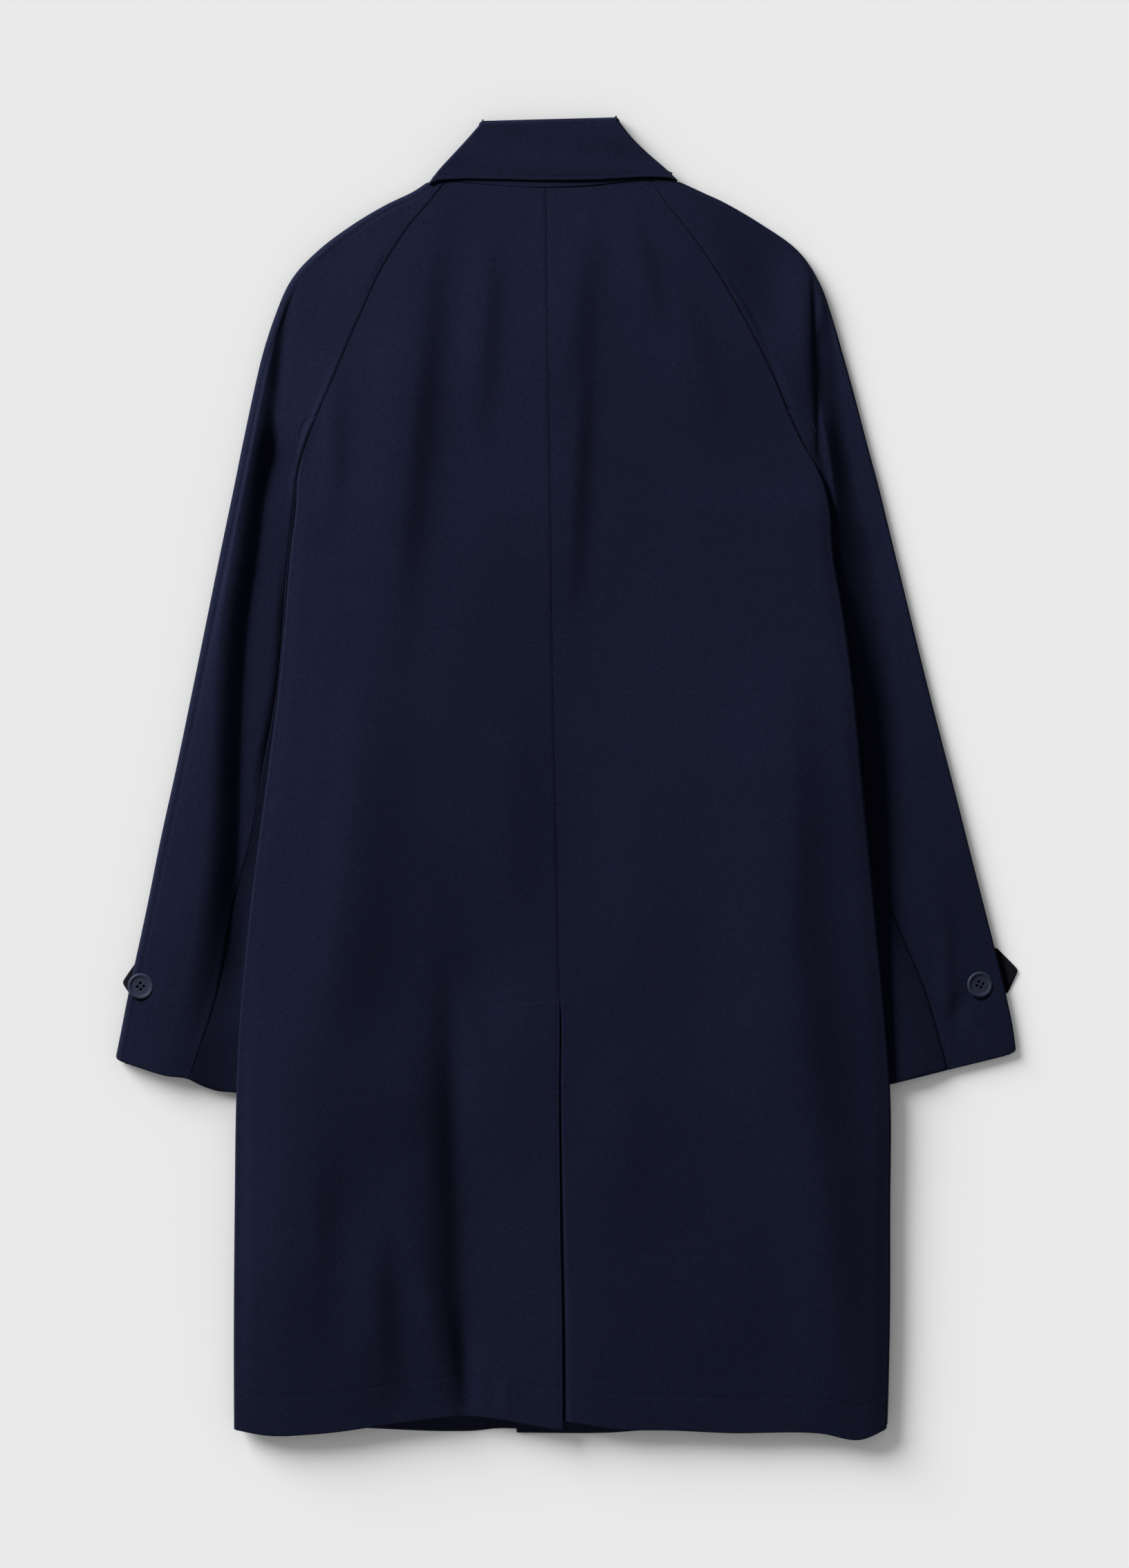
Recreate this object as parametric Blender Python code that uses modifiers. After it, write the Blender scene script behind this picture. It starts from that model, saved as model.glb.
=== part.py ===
# A raglan car coat laid flat, face down: cloth panels, collar, cuff tabs and buttons.
# Tables and formulas are in millimetres, meshes in metres. x runs across the coat, y up to the collar and
# z up from the floor. The origin is on the floor under the middle of the coat. Left and right are as seen
# from above. Every panel is placed by its outer face, and its wall goes inwards from there.

import math

import bmesh
import bpy
import numpy as np

COAT = "raglan_car_coat"
MM = 0.001

WALL = 2.0  # cloth with its turned-in layer
SEAM = 0.4  # clear space between two pieces at a seam
SIGN = {"left": -1, "right": 1}
NAVY = (0.010, 0.013, 0.034, 1)
BUTTON_NAVY = (0.030, 0.036, 0.060, 1)
CLOTH_ROUGHNESS = 0.85
BUTTON_ROUGHNESS = 0.4


class Sections:
    """Sections of a piece: a row for each section, read smoothly between the rows by column name."""

    def __init__(self, names, *rows):
        data = np.array(sorted(rows), float)
        self.stations = data[:, 0]
        self.columns = dict(zip(names.split()[1:], data.T[1:]))

    def at(self, name, station):
        station = np.clip(station, self.stations[0], self.stations[-1])
        values = self.columns[name]
        slopes = np.gradient(values, self.stations)
        k = np.clip(np.searchsorted(self.stations, station) - 1, 0, len(values) - 2)
        step = self.stations[k + 1] - self.stations[k]
        t = (station - self.stations[k]) / step
        bend = slopes[k] * (1 - t) - slopes[k + 1] * t
        return values[k] + (values[k + 1] - values[k]) * t * t * (3 - 2 * t) + step * t * (1 - t) * bend


def smooth(t):
    """0 below 0, 1 above 1, and an even rise between."""
    t = np.clip(t, 0, 1)
    return t * t * (3 - 2 * t)


def mix(start, end, t):
    return start + (end - start) * t


# Body, from neck to hem. Left and right are the raglan seams down to the underarm and the side folds below
# it. Edge_top and middle are heights of the back, and lift is how high the sleeves raise the side folds.
BODY = Sections(
    "y left right centre edge_top middle lift",
    (476, -91.0, 63.0, -16.0, 10.0, 10.0, 0.0),
    (442, -122.0, 92.0, -15.8, 12.0, 12.5, 0.0),
    (410, -143.4, 115.0, -15.5, 13.5, 14.5, 0.0),
    (366, -164.4, 141.4, -15.0, 14.5, 16.0, 0.0),
    (318, -185.0, 165.5, -14.0, 15.0, 17.0, 0.0),
    (290, -197.0, 177.0, -13.6, 15.2, 17.0, 0.0),
    (268, -206.0, 187.0, -13.2, 15.5, 17.0, 2.0),
    (237, -213.8, 203.5, -12.6, 17.5, 17.0, 6.6),
    (217, -214.8, 208.5, -12.4, 19.0, 17.0, 7.6),
    (180, -219.2, 211.5, -12.0, 20.0, 17.0, 8.6),
    (125, -223.8, 220.8, -11.4, 21.5, 17.0, 9.6),
    (70, -229.0, 228.0, -10.6, 22.5, 17.0, 10.4),
    (15, -236.0, 233.2, -9.4, 23.5, 17.0, 11.0),
    (-95, -250.2, 244.0, -7.0, 25.5, 17.0, 12.0),
    (-205, -260.4, 254.1, -5.6, 26.0, 17.5, 12.6),
    (-250, -262.3, 257.0, -6.0, 26.0, 18.0, 12.6),
    (-340, -263.7, 257.2, -5.2, 25.0, 18.0, 8.0),
    (-455, -264.5, 256.6, -3.4, 24.0, 18.0, 6.5),
    (-516, -264.3, 254.4, -3.2, 23.5, 18.0, 6.0),
)

# Sleeves, by the y of the section's inner end, which is on the raglan seam down to the underarm and on the
# back sleeve seam below it. Seam_out is how far that seam lies outside the side fold, tuck how far the
# under sleeve reaches from it beneath the body, and roll the height of the rounded outer edge.
SLEEVES = {
    "left": Sections(
        "seam_y outer_x outer_y seam_out tuck roll",
        (473, -113.0, 471.5, 0.0, 36.0, 10.0),
        (455, -122.5, 466.0, 0.0, 36.0, 11.0),
        (432, -143.3, 456.0, 0.0, 36.0, 12.0),
        (405, -168.6, 441.0, 0.0, 36.0, 13.0),
        (375, -195.3, 421.5, 0.0, 36.0, 13.5),
        (340, -219.0, 396.0, 0.0, 36.0, 14.0),
        (310, -231.6, 368.0, 0.0, 36.0, 14.0),
        (288, -240.2, 342.0, 0.0, 36.0, 14.0),
        (262, -247.6, 312.0, 0.8, 36.0, 14.0),
        (237, -258.2, 262.0, 1.4, 36.0, 14.0),
        (217, -263.0, 238.0, 2.0, 38.0, 14.0),
        (175, -273.0, 190.0, 2.0, 38.0, 14.0),
        (65, -298.2, 66.0, 1.5, 40.0, 14.0),
        (10, -309.6, 11.0, 4.4, 45.0, 14.0),
        (-52, -323.0, -50.0, 6.6, 50.0, 14.5),
        (-98, -332.2, -96.0, 13.5, 62.0, 15.0),
        (-180, -349.6, -178.0, 21.0, 76.0, 15.0),
        (-236.5, -358.3, -222.2, 37.0, 95.0, 15.0),
    ),
    "right": Sections(
        "seam_y outer_x outer_y seam_out tuck roll",
        (473, 95.0, 470.5, 0.0, 36.0, 10.0),
        (455, 108.6, 465.3, 0.0, 36.0, 11.0),
        (432, 126.8, 457.0, 0.0, 36.0, 12.0),
        (405, 154.0, 441.0, 0.0, 36.0, 13.0),
        (375, 182.4, 421.0, 0.0, 36.0, 13.5),
        (340, 201.6, 393.0, 0.0, 36.0, 14.0),
        (310, 212.0, 364.0, 0.0, 36.0, 14.0),
        (288, 219.0, 340.0, 0.0, 36.0, 14.0),
        (262, 228.0, 308.0, 0.8, 36.0, 14.0),
        (237, 240.6, 260.0, 1.4, 36.0, 14.0),
        (217, 246.6, 238.0, 1.0, 36.0, 14.0),
        (175, 258.7, 189.0, 0.0, 36.0, 14.0),
        (65, 289.0, 66.0, 0.0, 38.0, 14.0),
        (-20, 311.0, -19.0, 0.0, 44.0, 14.0),
        (-66, 322.6, -65.0, 1.0, 46.0, 14.5),
        (-113, 334.8, -111.0, 16.0, 60.0, 15.0),
        (-176, 350.7, -174.0, 36.0, 80.0, 15.0),
        (-200, 355.3, -195.0, 41.0, 86.0, 15.0),
        (-230, 357.8, -212.0, 47.0, 94.0, 15.0),
    ),
}

# Largest folds: a line from start to end, how far it bows to the right, how far the slope runs on each
# side of it, and its height (a trough is below zero).
FOLD_COLUMNS = "start_x start_y end_x end_y bow left_slope right_slope height".split()
FOLD_FADE = 0.25  # share of a fold's length over which it dies out at each end
BACK_FOLDS = (
    (-97, 425, -140, 120, 6, 42, 16, 4.0),
    (10, 435, -6, 130, -5, 24, 18, 3.5),
    (-160, 80, -222, -190, 8, 42, 34, 5.0),
    (166, 40, 190, -260, 8, 60, 28, 5.0),
    (-86, -195, -80, -480, -6, 20, 28, -5.0),
    (-160, -380, -142, -470, 0, 30, 20, 3.0),
    (206, -270, 222, -500, 0, 40, 20, 3.0),
)
SLEEVE_FOLDS = {
    "left": ((-221, 392, -282, -190, -4, 14, 18, -4.0),),
    "right": ((196, 400, 222, 220, 0, 14, 14, -3.5),),
}

# Rows of points down the pieces. Down to the underarm all panels share theirs.
RAGLAN_ROWS = (473, 455, 432, 405, 375, 340, 310, 288, 272, 260, 248, 237)
SIDE_ROWS = (
    *(225, 205, 175, 135, 95, 55, 15, -30, -75, -120, -160, -176, -192),
    *(-225, -265, -305, -350, -395, -435, -470, -498, -516),
)
FRONT_ROWS = (225, 205, 175, 135, 95, 15, -75, -160, -225, -265, -350, -435, -498)
SLEEVE_ROWS = (225, 205, 175, 135, 95, 55, 15, -30, -75, -105)
UNDERARM = RAGLAN_ROWS[-1]

# Side folds: the panels turn round them from just above the underarm on, to a seam at the outermost point.
TURN_START = 266
TURN_END = 228
TUCKED_BY = 239  # from here down the sleeve seams lie beneath the folds
TUCK_GAP = 1.0
SIDE_SEAM = 1.1
SMOOTH_EDGE = 0.15  # share of a panel's width that its folds leave smooth along the edge
SMOOTH_SEAM = 0.25
EDGE_BAND = 6
PANEL_COLUMNS = 10
EDGE_COLUMNS = 6
TOP_SLEEVE_COLUMNS = (6, 6, 4)  # upper face, round the fold, lower face
UNDER_SLEEVE_COLUMNS = (3, 6, 3)

# Fronts: overlap at the middle, and a shelf over the sleeves that slopes down to the floor.
FRONT_EDGE = {"left": 33, "right": -39}
OVERLAP_STEP = WALL + SEAM
OVERLAP_SLOPE = 16
OVERLAP_COLUMNS = 3
SHELF = 60
SHELF_SLOPE = 45
FRONT_HEM = {"left": -518, "right": -520.5}

# Vent: the left back lies over the right back's underlap, three columns of points wide.
VENT_TOP = -176
VENT_DROP = WALL + 1.3
VENT_SLOPE = 20
VENT_FLAT = 2
UNDERLAP_COLUMNS = 3

# Neck and hem lines of the backs.
NECK_LOW = 470
NECK_RISE = 2.8
NECK_HALF = 79
FRONT_NECK_GAP = 2.0
NECK_FADE = 18
HEM_FADE = 60
HEM_LINE = {
    "left": Sections(
        "x y",
        *((-264, -516.0), (-238, -521.0), (-200, -520.0), (-128, -510.0)),
        *((-85, -505.5), (-4, -516.5)),
    ),
    "right": Sections(
        "x y",
        *((-85, -501.0), (-4, -509.0), (40, -517.0), (128, -519.0)),
        *((202, -519.0), (235, -525.0), (254, -515.5)),
    ),
}

# Collar: a flattened ring. The back of it lies on top, the front of it dips below the back's neck line and
# lies on the floor, where it raises the fronts and sleeves.
COLLAR_TOP = 12.6
COLLAR_INSET = WALL + 0.5
COLLAR_SIDE_INSET = 2.2 * COLLAR_INSET
COLLAR_LEFT = (-110.0, -67.0)
COLLAR_RIGHT = (86.5, 40.5)
COLLAR_MIDDLE = -13.0
COLLAR_EDGE_Y = 476.2
COLLAR_FOLD_Y = 523.9
COLLAR_TILT = 0.022
COLLAR_ROLL = 3.4
COLLAR_ROLL_ANGLE = math.radians(110)
FALL_ROWS = 7
ROLL_ROWS = 3
STAND_ROWS = 5
RING_SIDE_POINTS = 6
RING_BACK_POINTS = 7
RING_FRONT_POINTS = 4
STAND_SHORT = 5.0
FRONT_GAP = 6.0
FRONT_DROP = 22.0
FRONT_DROP_WIDTH = 0.75
COLLAR_POINT = 20.0
NECK_LIFT = 2.6
NECK_LIFT_FROM = 370
NECK_LIFT_FULL = 415

# Cuff tabs lie flat under the sleeves and show their points outside the edge. Buttons lie on the sleeves.
TAB_TIP = {"left": (-352.0, -162.3), "right": (357.8, -152.9)}
TAB_LENGTH = 58
TAB_WIDTH = 34
TAB_POINT = 14
TAB_WALL = 1.8
TAB_LIFT = TAB_WALL + SEAM
TAB_SLOPE = 8
TAB_ROWS = (32, 20, 7, -7, -20, -32)
BUTTON_CENTRE = {"left": (-339.1, -165.0), "right": (329.2, -163.9)}
BUTTON_PROFILE = (
    (0, 1.7), (4.6, 1.7), (6.4, 2.6), (7.9, 3.5), (9.3, 3.4), (10.3, 2.2), (9.6, 0.7), (7.6, 0), (0, 0),
)
BUTTON_STEPS = 24
HOLES = 4
HOLE_RADIUS = 1.1
HOLE_SPACING = 3.4
HOLE_SEGMENTS = 10
DRILL_LENGTH = 10


def material(name, colour, roughness):
    made = bpy.data.materials.new(name)
    made.use_nodes = True
    surface = made.node_tree.nodes["Principled BSDF"]
    surface.inputs["Base Color"].default_value = colour
    surface.inputs["Roughness"].default_value = roughness
    surface.inputs["Metallic"].default_value = 0
    return made


def navy_cloth(piece):
    return material(f"{piece}_cloth", NAVY, CLOTH_ROUGHNESS)


def add(name, data, surface, collection):
    made = bpy.data.objects.new(name, data)
    if surface:
        data.materials.append(surface)
    collection.objects.link(made)
    return made


def sheet(name, x, y, z, cloth, coat, turned=False, keep=None):
    """A cloth panel: a grid moved to the points of the outer face, with its wall made inwards."""
    rows, columns = x.shape
    grid = bmesh.new()
    bmesh.ops.create_grid(grid, x_segments=columns - 1, y_segments=rows - 1, size=1)
    for vert in grid.verts:
        vert.co.x = round((vert.co.x + 1) / 2 * (columns - 1))
        vert.co.y = round((vert.co.y + 1) / 2 * (rows - 1))
    if keep is not None:
        cells = [(face, face.calc_center_median()) for face in grid.faces]
        gone = [face for face, cell in cells if not keep(int(cell.y), int(cell.x))]
        bmesh.ops.delete(grid, geom=gone, context="FACES")
    for vert in grid.verts:
        at = int(vert.co.y), int(vert.co.x)
        vert.co = (x[at] * MM, y[at] * MM, z[at] * MM)
    if turned:
        bmesh.ops.reverse_faces(grid, faces=grid.faces)
    mesh = bpy.data.meshes.new(name)
    grid.to_mesh(mesh)
    grid.free()
    mesh.shade_smooth()
    panel = add(name, mesh, cloth, coat)
    wall = panel.modifiers.new("wall", "SOLIDIFY")
    wall.thickness = WALL * MM
    wall.offset = -1
    wall.use_even_offset = True
    return panel


def folds(table, x, y):
    """Height that the folds add at x, y."""
    total = np.zeros(np.broadcast(x, y).shape)
    for row in table:
        fold = dict(zip(FOLD_COLUMNS, row))
        run_x = fold["end_x"] - fold["start_x"]
        run_y = fold["end_y"] - fold["start_y"]
        length = math.hypot(run_x, run_y)
        along = ((x - fold["start_x"]) * run_x + (y - fold["start_y"]) * run_y) / length ** 2
        right = ((fold["start_y"] - y) * run_x + (x - fold["start_x"]) * run_y) / -length
        right = right - fold["bow"] * 4 * along * (1 - along)
        slope = np.where(right < 0, fold["left_slope"], fold["right_slope"])
        fade = smooth(along / FOLD_FADE) * smooth((1 - along) / FOLD_FADE)
        total = total + fold["height"] * np.exp(-((right / slope) ** 2)) * fade
    return total


def neck_lift(y):
    """How far the front of the collar raises what lies on it."""
    return NECK_LIFT * smooth((y - NECK_LIFT_FROM) / (NECK_LIFT_FULL - NECK_LIFT_FROM))


def front_drop(across):
    """How far the front neck line lies below the back's, across a ring from -1 to 1."""
    return FRONT_DROP * np.cos(math.pi / 2 * np.clip(across / FRONT_DROP_WIDTH, -1, 1)) ** 2


def neck_line(x):
    return NECK_LOW + NECK_RISE * ((x - COLLAR_MIDDLE) / NECK_HALF) ** 2


def lift(y):
    return np.maximum(BODY.at("lift", y), 0)


def collar_across(x, t=0.0):
    """Place across the collar ring, -1 to 1, at t from its edge (0) to its fold (1)."""
    left = mix(*COLLAR_LEFT, t)
    right = mix(*COLLAR_RIGHT, t)
    return (x - (left + right) / 2) / ((right - left) / 2)


def side_fold(side, y):
    """Where the side fold starts across the coat, its radius, and how far round it a panel reaches."""
    radius = (BODY.at("edge_top", y) - lift(y)) / 2
    turn = (math.pi / 2 - SIDE_SEAM / 2 / radius) * smooth((TURN_START - y) / (TURN_START - TURN_END))
    start = BODY.at(side, y) - SIGN[side] * (radius * np.sin(turn) + SEAM / 2)
    return start, radius, turn


def body_panel(side, y, inner, overlap=None):
    """Columns of a body panel from its inner edge to the side seam: x where it is flat, x, and how far the
    side fold has turned it out of the flat. They are evenly spaced over the flat and round the fold."""
    start, radius, turn = side_fold(side, y)
    flat = np.abs(start - inner)
    total = flat + radius * turn
    band = np.maximum(radius * turn, EDGE_BAND)
    even = np.linspace(0, 1, PANEL_COLUMNS + 1)[:-1] * (total - band)
    if overlap:
        first = np.linspace(0, overlap, OVERLAP_COLUMNS + 1) + 0 * y
        steps = np.linspace(0, 1, PANEL_COLUMNS - OVERLAP_COLUMNS)[:-1]
        rest = mix(overlap + OVERLAP_SLOPE, total - band, steps)
        even = np.concatenate([first, rest], axis=1)
    close = total - band * np.linspace(1, 0, EDGE_COLUMNS + 1)
    run = np.concatenate([even, close], axis=1)
    angle = np.clip((run - flat) / radius, 0, None)
    flat_x = inner + SIGN[side] * np.minimum(run, flat)
    return flat_x, flat_x + SIGN[side] * radius * np.sin(angle), radius * (1 - np.cos(angle))


def back_top(x, y):
    """Height of the back's outer face."""
    centre = BODY.at("centre", y)
    edge = np.where(x < centre, BODY.at("left", y), BODY.at("right", y))
    across = np.clip((x - centre) / (edge - centre), 0, 1)
    edge_top = BODY.at("edge_top", y)
    sag = (1 - across ** 2) ** 2
    away = smooth((1 - across) / SMOOTH_EDGE)
    return mix(edge_top, BODY.at("middle", y), sag) + folds(BACK_FOLDS, x, y) * away


def back_y(side, x, y):
    """Rows of the back, bent to the neck line at the top and the hem line at the bottom."""
    neck = neck_line(x) - SEAM / 2 - RAGLAN_ROWS[0]
    hem = HEM_LINE[side].at("y", x) - SIDE_ROWS[-1]
    at_neck = smooth((y - RAGLAN_ROWS[0] + NECK_FADE) / NECK_FADE)
    at_hem = smooth((SIDE_ROWS[-1] + HEM_FADE - y) / HEM_FADE)
    return y + neck * at_neck + hem * at_hem


def back(side, cloth, coat):
    y = np.array(RAGLAN_ROWS + SIDE_ROWS, float)[:, None]
    flat_x, x, down = body_panel(side, y, BODY.at("centre", y) + SIGN[side] * SEAM / 2)
    z = back_top(flat_x, y) - down
    keep = None
    if side == "right":
        under_x = body_panel("left", y, BODY.at("centre", y) - SEAM / 2)[1][:, UNDERLAP_COLUMNS:0:-1]
        x = np.concatenate([under_x, x], axis=1)
        z = np.concatenate([back_top(under_x, y), z], axis=1)
        vent = smooth((BODY.at("centre", y) + VENT_SLOPE - x) / (VENT_SLOPE - VENT_FLAT))
        z = z - VENT_DROP * vent * (y < VENT_TOP)
        first = (RAGLAN_ROWS + SIDE_ROWS).index(VENT_TOP) + 1

        def keep(row, column):
            return column >= UNDERLAP_COLUMNS or row >= first

    sheet(f"back_{side}", x, back_y(side, x, y), z, cloth, coat, turned=side == "right", keep=keep)


def front_under(side, x, y):
    """Height of the front's outer face, which is its underside here."""
    inside = np.abs(BODY.at(side, y) - x)
    shelf = lift(y) * (1 - smooth((inside - SHELF) / SHELF_SLOPE))
    step = 0
    if side == "right":
        step = OVERLAP_STEP * smooth((FRONT_EDGE["left"] + OVERLAP_SLOPE + SEAM - x) / OVERLAP_SLOPE)
    return neck_lift(y) + shelf + step


def front(side, cloth, coat):
    y = np.array(RAGLAN_ROWS + FRONT_ROWS, float)[:, None]
    overlap = None
    if side == "right":
        overlap = FRONT_EDGE["left"] + SEAM - FRONT_EDGE["right"]
    flat_x, x, up = body_panel(side, y, np.full_like(y, FRONT_EDGE[side]), overlap)
    z = front_under(side, flat_x, y) + up
    neck = neck_line(x) - FRONT_NECK_GAP - RAGLAN_ROWS[0]
    at_neck = smooth((y - RAGLAN_ROWS[0] + NECK_FADE) / NECK_FADE)
    drop = front_drop(collar_across(x)) * smooth((y - NECK_LIFT_FROM) / (RAGLAN_ROWS[0] - NECK_LIFT_FROM))
    at_hem = smooth((FRONT_ROWS[-1] + HEM_FADE - y) / HEM_FADE)
    bent_y = y + neck * at_neck - drop + (FRONT_HEM[side] - FRONT_ROWS[-1]) * at_hem
    sheet(f"front_{side}", x, bent_y, z, cloth, coat, turned=side == "left")


def seam_top(y):
    """Height of the sleeve at its inner end: level with the back, then down beneath the side fold."""
    under = smooth((TURN_START - y) / (TURN_START - TUCKED_BY))
    return mix(BODY.at("edge_top", y), lift(y) - TUCK_GAP, under)


def tab_lift(side, outside, y):
    """How far the cuff tab raises the sleeve that lies on it, by distance from the sleeve's outer edge."""
    beside = np.abs(y - TAB_TIP[side][1])
    raised = smooth((TAB_ROWS[0] - beside) / (TAB_ROWS[0] - TAB_ROWS[1]))
    return TAB_LIFT * raised * smooth((TAB_LENGTH + TAB_SLOPE - outside) / TAB_SLOPE)


def half_tube(reach, depth, columns):
    """Distance from the seam and the angle round the fold for columns out to the fold, round it and back.
    Depth is how far the fold reaches back from its outermost point."""
    flat, arc, under = columns
    out = np.linspace(0, 1, flat + 1) * (reach - depth - SEAM / 2) + SEAM / 2
    angle = np.linspace(0, math.pi, arc + 1)[1:-1]
    back_in = np.linspace(1, 0, under + 1) * (reach - depth - SEAM / 2) + SEAM / 2
    round_fold = reach - depth + depth * np.sin(angle)
    run = np.concatenate([out, round_fold, back_in], axis=1)
    angles = np.concatenate([np.zeros(flat + 1), angle, np.full(under + 1, math.pi)])
    return run, np.broadcast_to(angles, run.shape)


def sleeve_line(side, y):
    """Plan of the sleeve's section at y: the seam point, the unit step outwards, and the width."""
    table = SLEEVES[side]
    seam_x = BODY.at(side, y) + SIGN[side] * table.at("seam_out", y)
    out_x = table.at("outer_x", y) - seam_x
    out_y = table.at("outer_y", y) - y
    width = np.hypot(out_x, out_y)
    return seam_x, out_x / width, out_y / width, width


def edge_depth(side, y, radius):
    """Depth of the sleeve's outer fold along a section that may cross it at a slant."""
    table = SLEEVES[side]
    edge_x = table.at("outer_x", y - 1) - table.at("outer_x", y + 1)
    edge_y = table.at("outer_y", y - 1) - table.at("outer_y", y + 1)
    _, out_x, out_y, width = sleeve_line(side, y)
    square = np.abs(edge_x * out_y - edge_y * out_x) / np.hypot(edge_x, edge_y)
    return np.minimum(radius / square, width / 2)


def top_sleeve_height(side, x, y_at, y, out, reach, depth):
    """Height of the top sleeve's upper face at a distance out from its seam."""
    roll = SLEEVES[side].at("roll", y)
    rise = np.clip(out / (reach - depth), 0, 1)
    away = smooth(rise / SMOOTH_SEAM) * smooth((1 - rise) / SMOOTH_EDGE)
    return mix(seam_top(y), roll, smooth(rise)) + folds(SLEEVE_FOLDS[side], x, y_at) * away


def sleeve_rows(side):
    """Rows from the underarm to the cuff, with some close together along the cuff tab."""
    cuff = SLEEVES[side].stations[0]
    tab_rows = tuple(TAB_TIP[side][1] + row for row in TAB_ROWS)
    return SLEEVE_ROWS + tab_rows + (mix(tab_rows[-1], cuff, 0.5), cuff)


def top_sleeve(side, cloth, coat):
    y = np.array(RAGLAN_ROWS + sleeve_rows(side))[:, None]
    seam_x, out_x, out_y, width = sleeve_line(side, y)
    floor = neck_lift(y) + tab_lift(side, 0, y)
    radius = (SLEEVES[side].at("roll", y) - floor) / 2
    depth = edge_depth(side, y, radius)
    run, angle = half_tube(width, depth, TOP_SLEEVE_COLUMNS)
    x = seam_x + out_x * run
    y_at = y + out_y * run
    upper = top_sleeve_height(side, x, y_at, y, run, width, depth)
    lower = neck_lift(y) + tab_lift(side, width - run, y)
    rounded = floor + radius * (1 + np.cos(angle))
    z = np.where(angle == 0, upper, np.where(angle == math.pi, lower, rounded))
    sheet(f"top_sleeve_{side}", x, y_at, z, cloth, coat, turned=side == "right")


def under_sleeve(side, cloth, coat):
    y = np.array((UNDERARM,) + sleeve_rows(side))[:, None]
    seam_x, out_x, out_y, _ = sleeve_line(side, y)
    radius = seam_top(y) / 2
    run, angle = half_tube(SLEEVES[side].at("tuck", y), radius, UNDER_SLEEVE_COLUMNS)
    x = seam_x - out_x * run
    y_at = y - out_y * run
    z = radius * (1 + np.cos(angle))
    sheet(f"under_sleeve_{side}", x, y_at, z, cloth, coat, turned=side == "left")


def collar_ring(t, inset):
    """Section of the collar at t from edge to fold, from the left front round the back to the right front:
    x, z, the outward normal's x and z, how much each point belongs to the front, and how far it is from
    the side towards the collar's end."""
    side_inset = inset / COLLAR_INSET * COLLAR_SIDE_INSET
    left = mix(*COLLAR_LEFT, t) + side_inset
    right = mix(*COLLAR_RIGHT, t) - side_inset
    radius = COLLAR_TOP / 2 - inset
    sides = np.linspace(0, math.pi, RING_SIDE_POINTS)
    flat = np.linspace(0, 1, RING_BACK_POINTS + 2)[1:-1]
    inwards = np.linspace(0, 1, RING_FRONT_POINTS + 1)[1:]
    left_end = COLLAR_MIDDLE - FRONT_GAP
    right_end = COLLAR_MIDDLE + FRONT_GAP
    x = np.concatenate([
        mix(left + radius, left_end, inwards[::-1]),
        left + radius - radius * np.sin(sides),
        mix(left + radius, right - radius, flat),
        right - radius + radius * np.sin(sides),
        mix(right - radius, right_end, inwards),
    ])
    still = np.zeros(len(inwards))
    normal_x = np.concatenate([still, -np.sin(sides), np.zeros(len(flat)), np.sin(sides), still])
    normal_z = np.concatenate([still - 1, -np.cos(sides), np.ones(len(flat)), np.cos(sides), still - 1])
    inner = np.concatenate([inwards[::-1], np.zeros(len(x) - 2 * len(inwards)), inwards])
    z = inset + radius * (1 + normal_z)
    return x, z, normal_x, normal_z, (1 - normal_z) / 2, inner


def collar_fall(cloth, coat):
    rows = []
    for t in np.linspace(0, 1, FALL_ROWS):
        x, z, normal_x, normal_z, in_front, inner = collar_ring(t, 0)
        y = mix(COLLAR_EDGE_Y, COLLAR_FOLD_Y - COLLAR_ROLL, t) + COLLAR_TILT * x
        y = y - in_front * front_drop(collar_across(x, t)) - COLLAR_POINT * inner * (1 - t)
        rows.append((x, y, z))
    for turn in np.linspace(0, COLLAR_ROLL_ANGLE, ROLL_ROWS + 1)[1:]:
        inwards = COLLAR_ROLL * (1 - math.cos(turn))
        rows.append((x - normal_x * inwards, y + COLLAR_ROLL * math.sin(turn), z - normal_z * inwards))
    x, y, z = (np.array(part) for part in zip(*rows))
    sheet("collar_fall", x, y, z, cloth, coat)


def collar_stand(cloth, coat):
    rows = []
    for t in np.linspace(0, 1, STAND_ROWS):
        x, z, _, _, in_front, _ = collar_ring(t, COLLAR_INSET)
        top = COLLAR_FOLD_Y - STAND_SHORT + COLLAR_TILT * x
        y = mix(neck_line(x) + 1.5 * SEAM, top, t) - in_front * front_drop(collar_across(x, t))
        rows.append((x, y, z))
    x, y, z = (np.array(part) for part in zip(*rows))
    sheet("collar_stand", x, y, z, cloth, coat)


def cuff_tab(side, cloth, coat):
    """A pointed strap: a filled outline with half its thickness on each side."""
    tip_x, tip_y = TAB_TIP[side]
    shoulder = tip_x - SIGN[side] * TAB_POINT
    end = tip_x - SIGN[side] * TAB_LENGTH
    half = TAB_WIDTH / 2
    outline = ((tip_x, 0), (shoulder, half), (end, half), (end, -half), (shoulder, -half))
    curve = bpy.data.curves.new(f"cuff_tab_{side}", "CURVE")
    curve.dimensions = "2D"
    curve.fill_mode = "BOTH"
    curve.extrude = TAB_WALL / 2 * MM
    spline = curve.splines.new("POLY")
    spline.points.add(len(outline) - 1)
    for point, (x, y) in zip(spline.points, outline):
        point.co = (x * MM, (tip_y + y) * MM, 0, 1)
    spline.use_cyclic_u = True
    strap = add(f"cuff_tab_{side}", curve, cloth, coat)
    strap.location.z = TAB_WALL / 2 * MM


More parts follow.
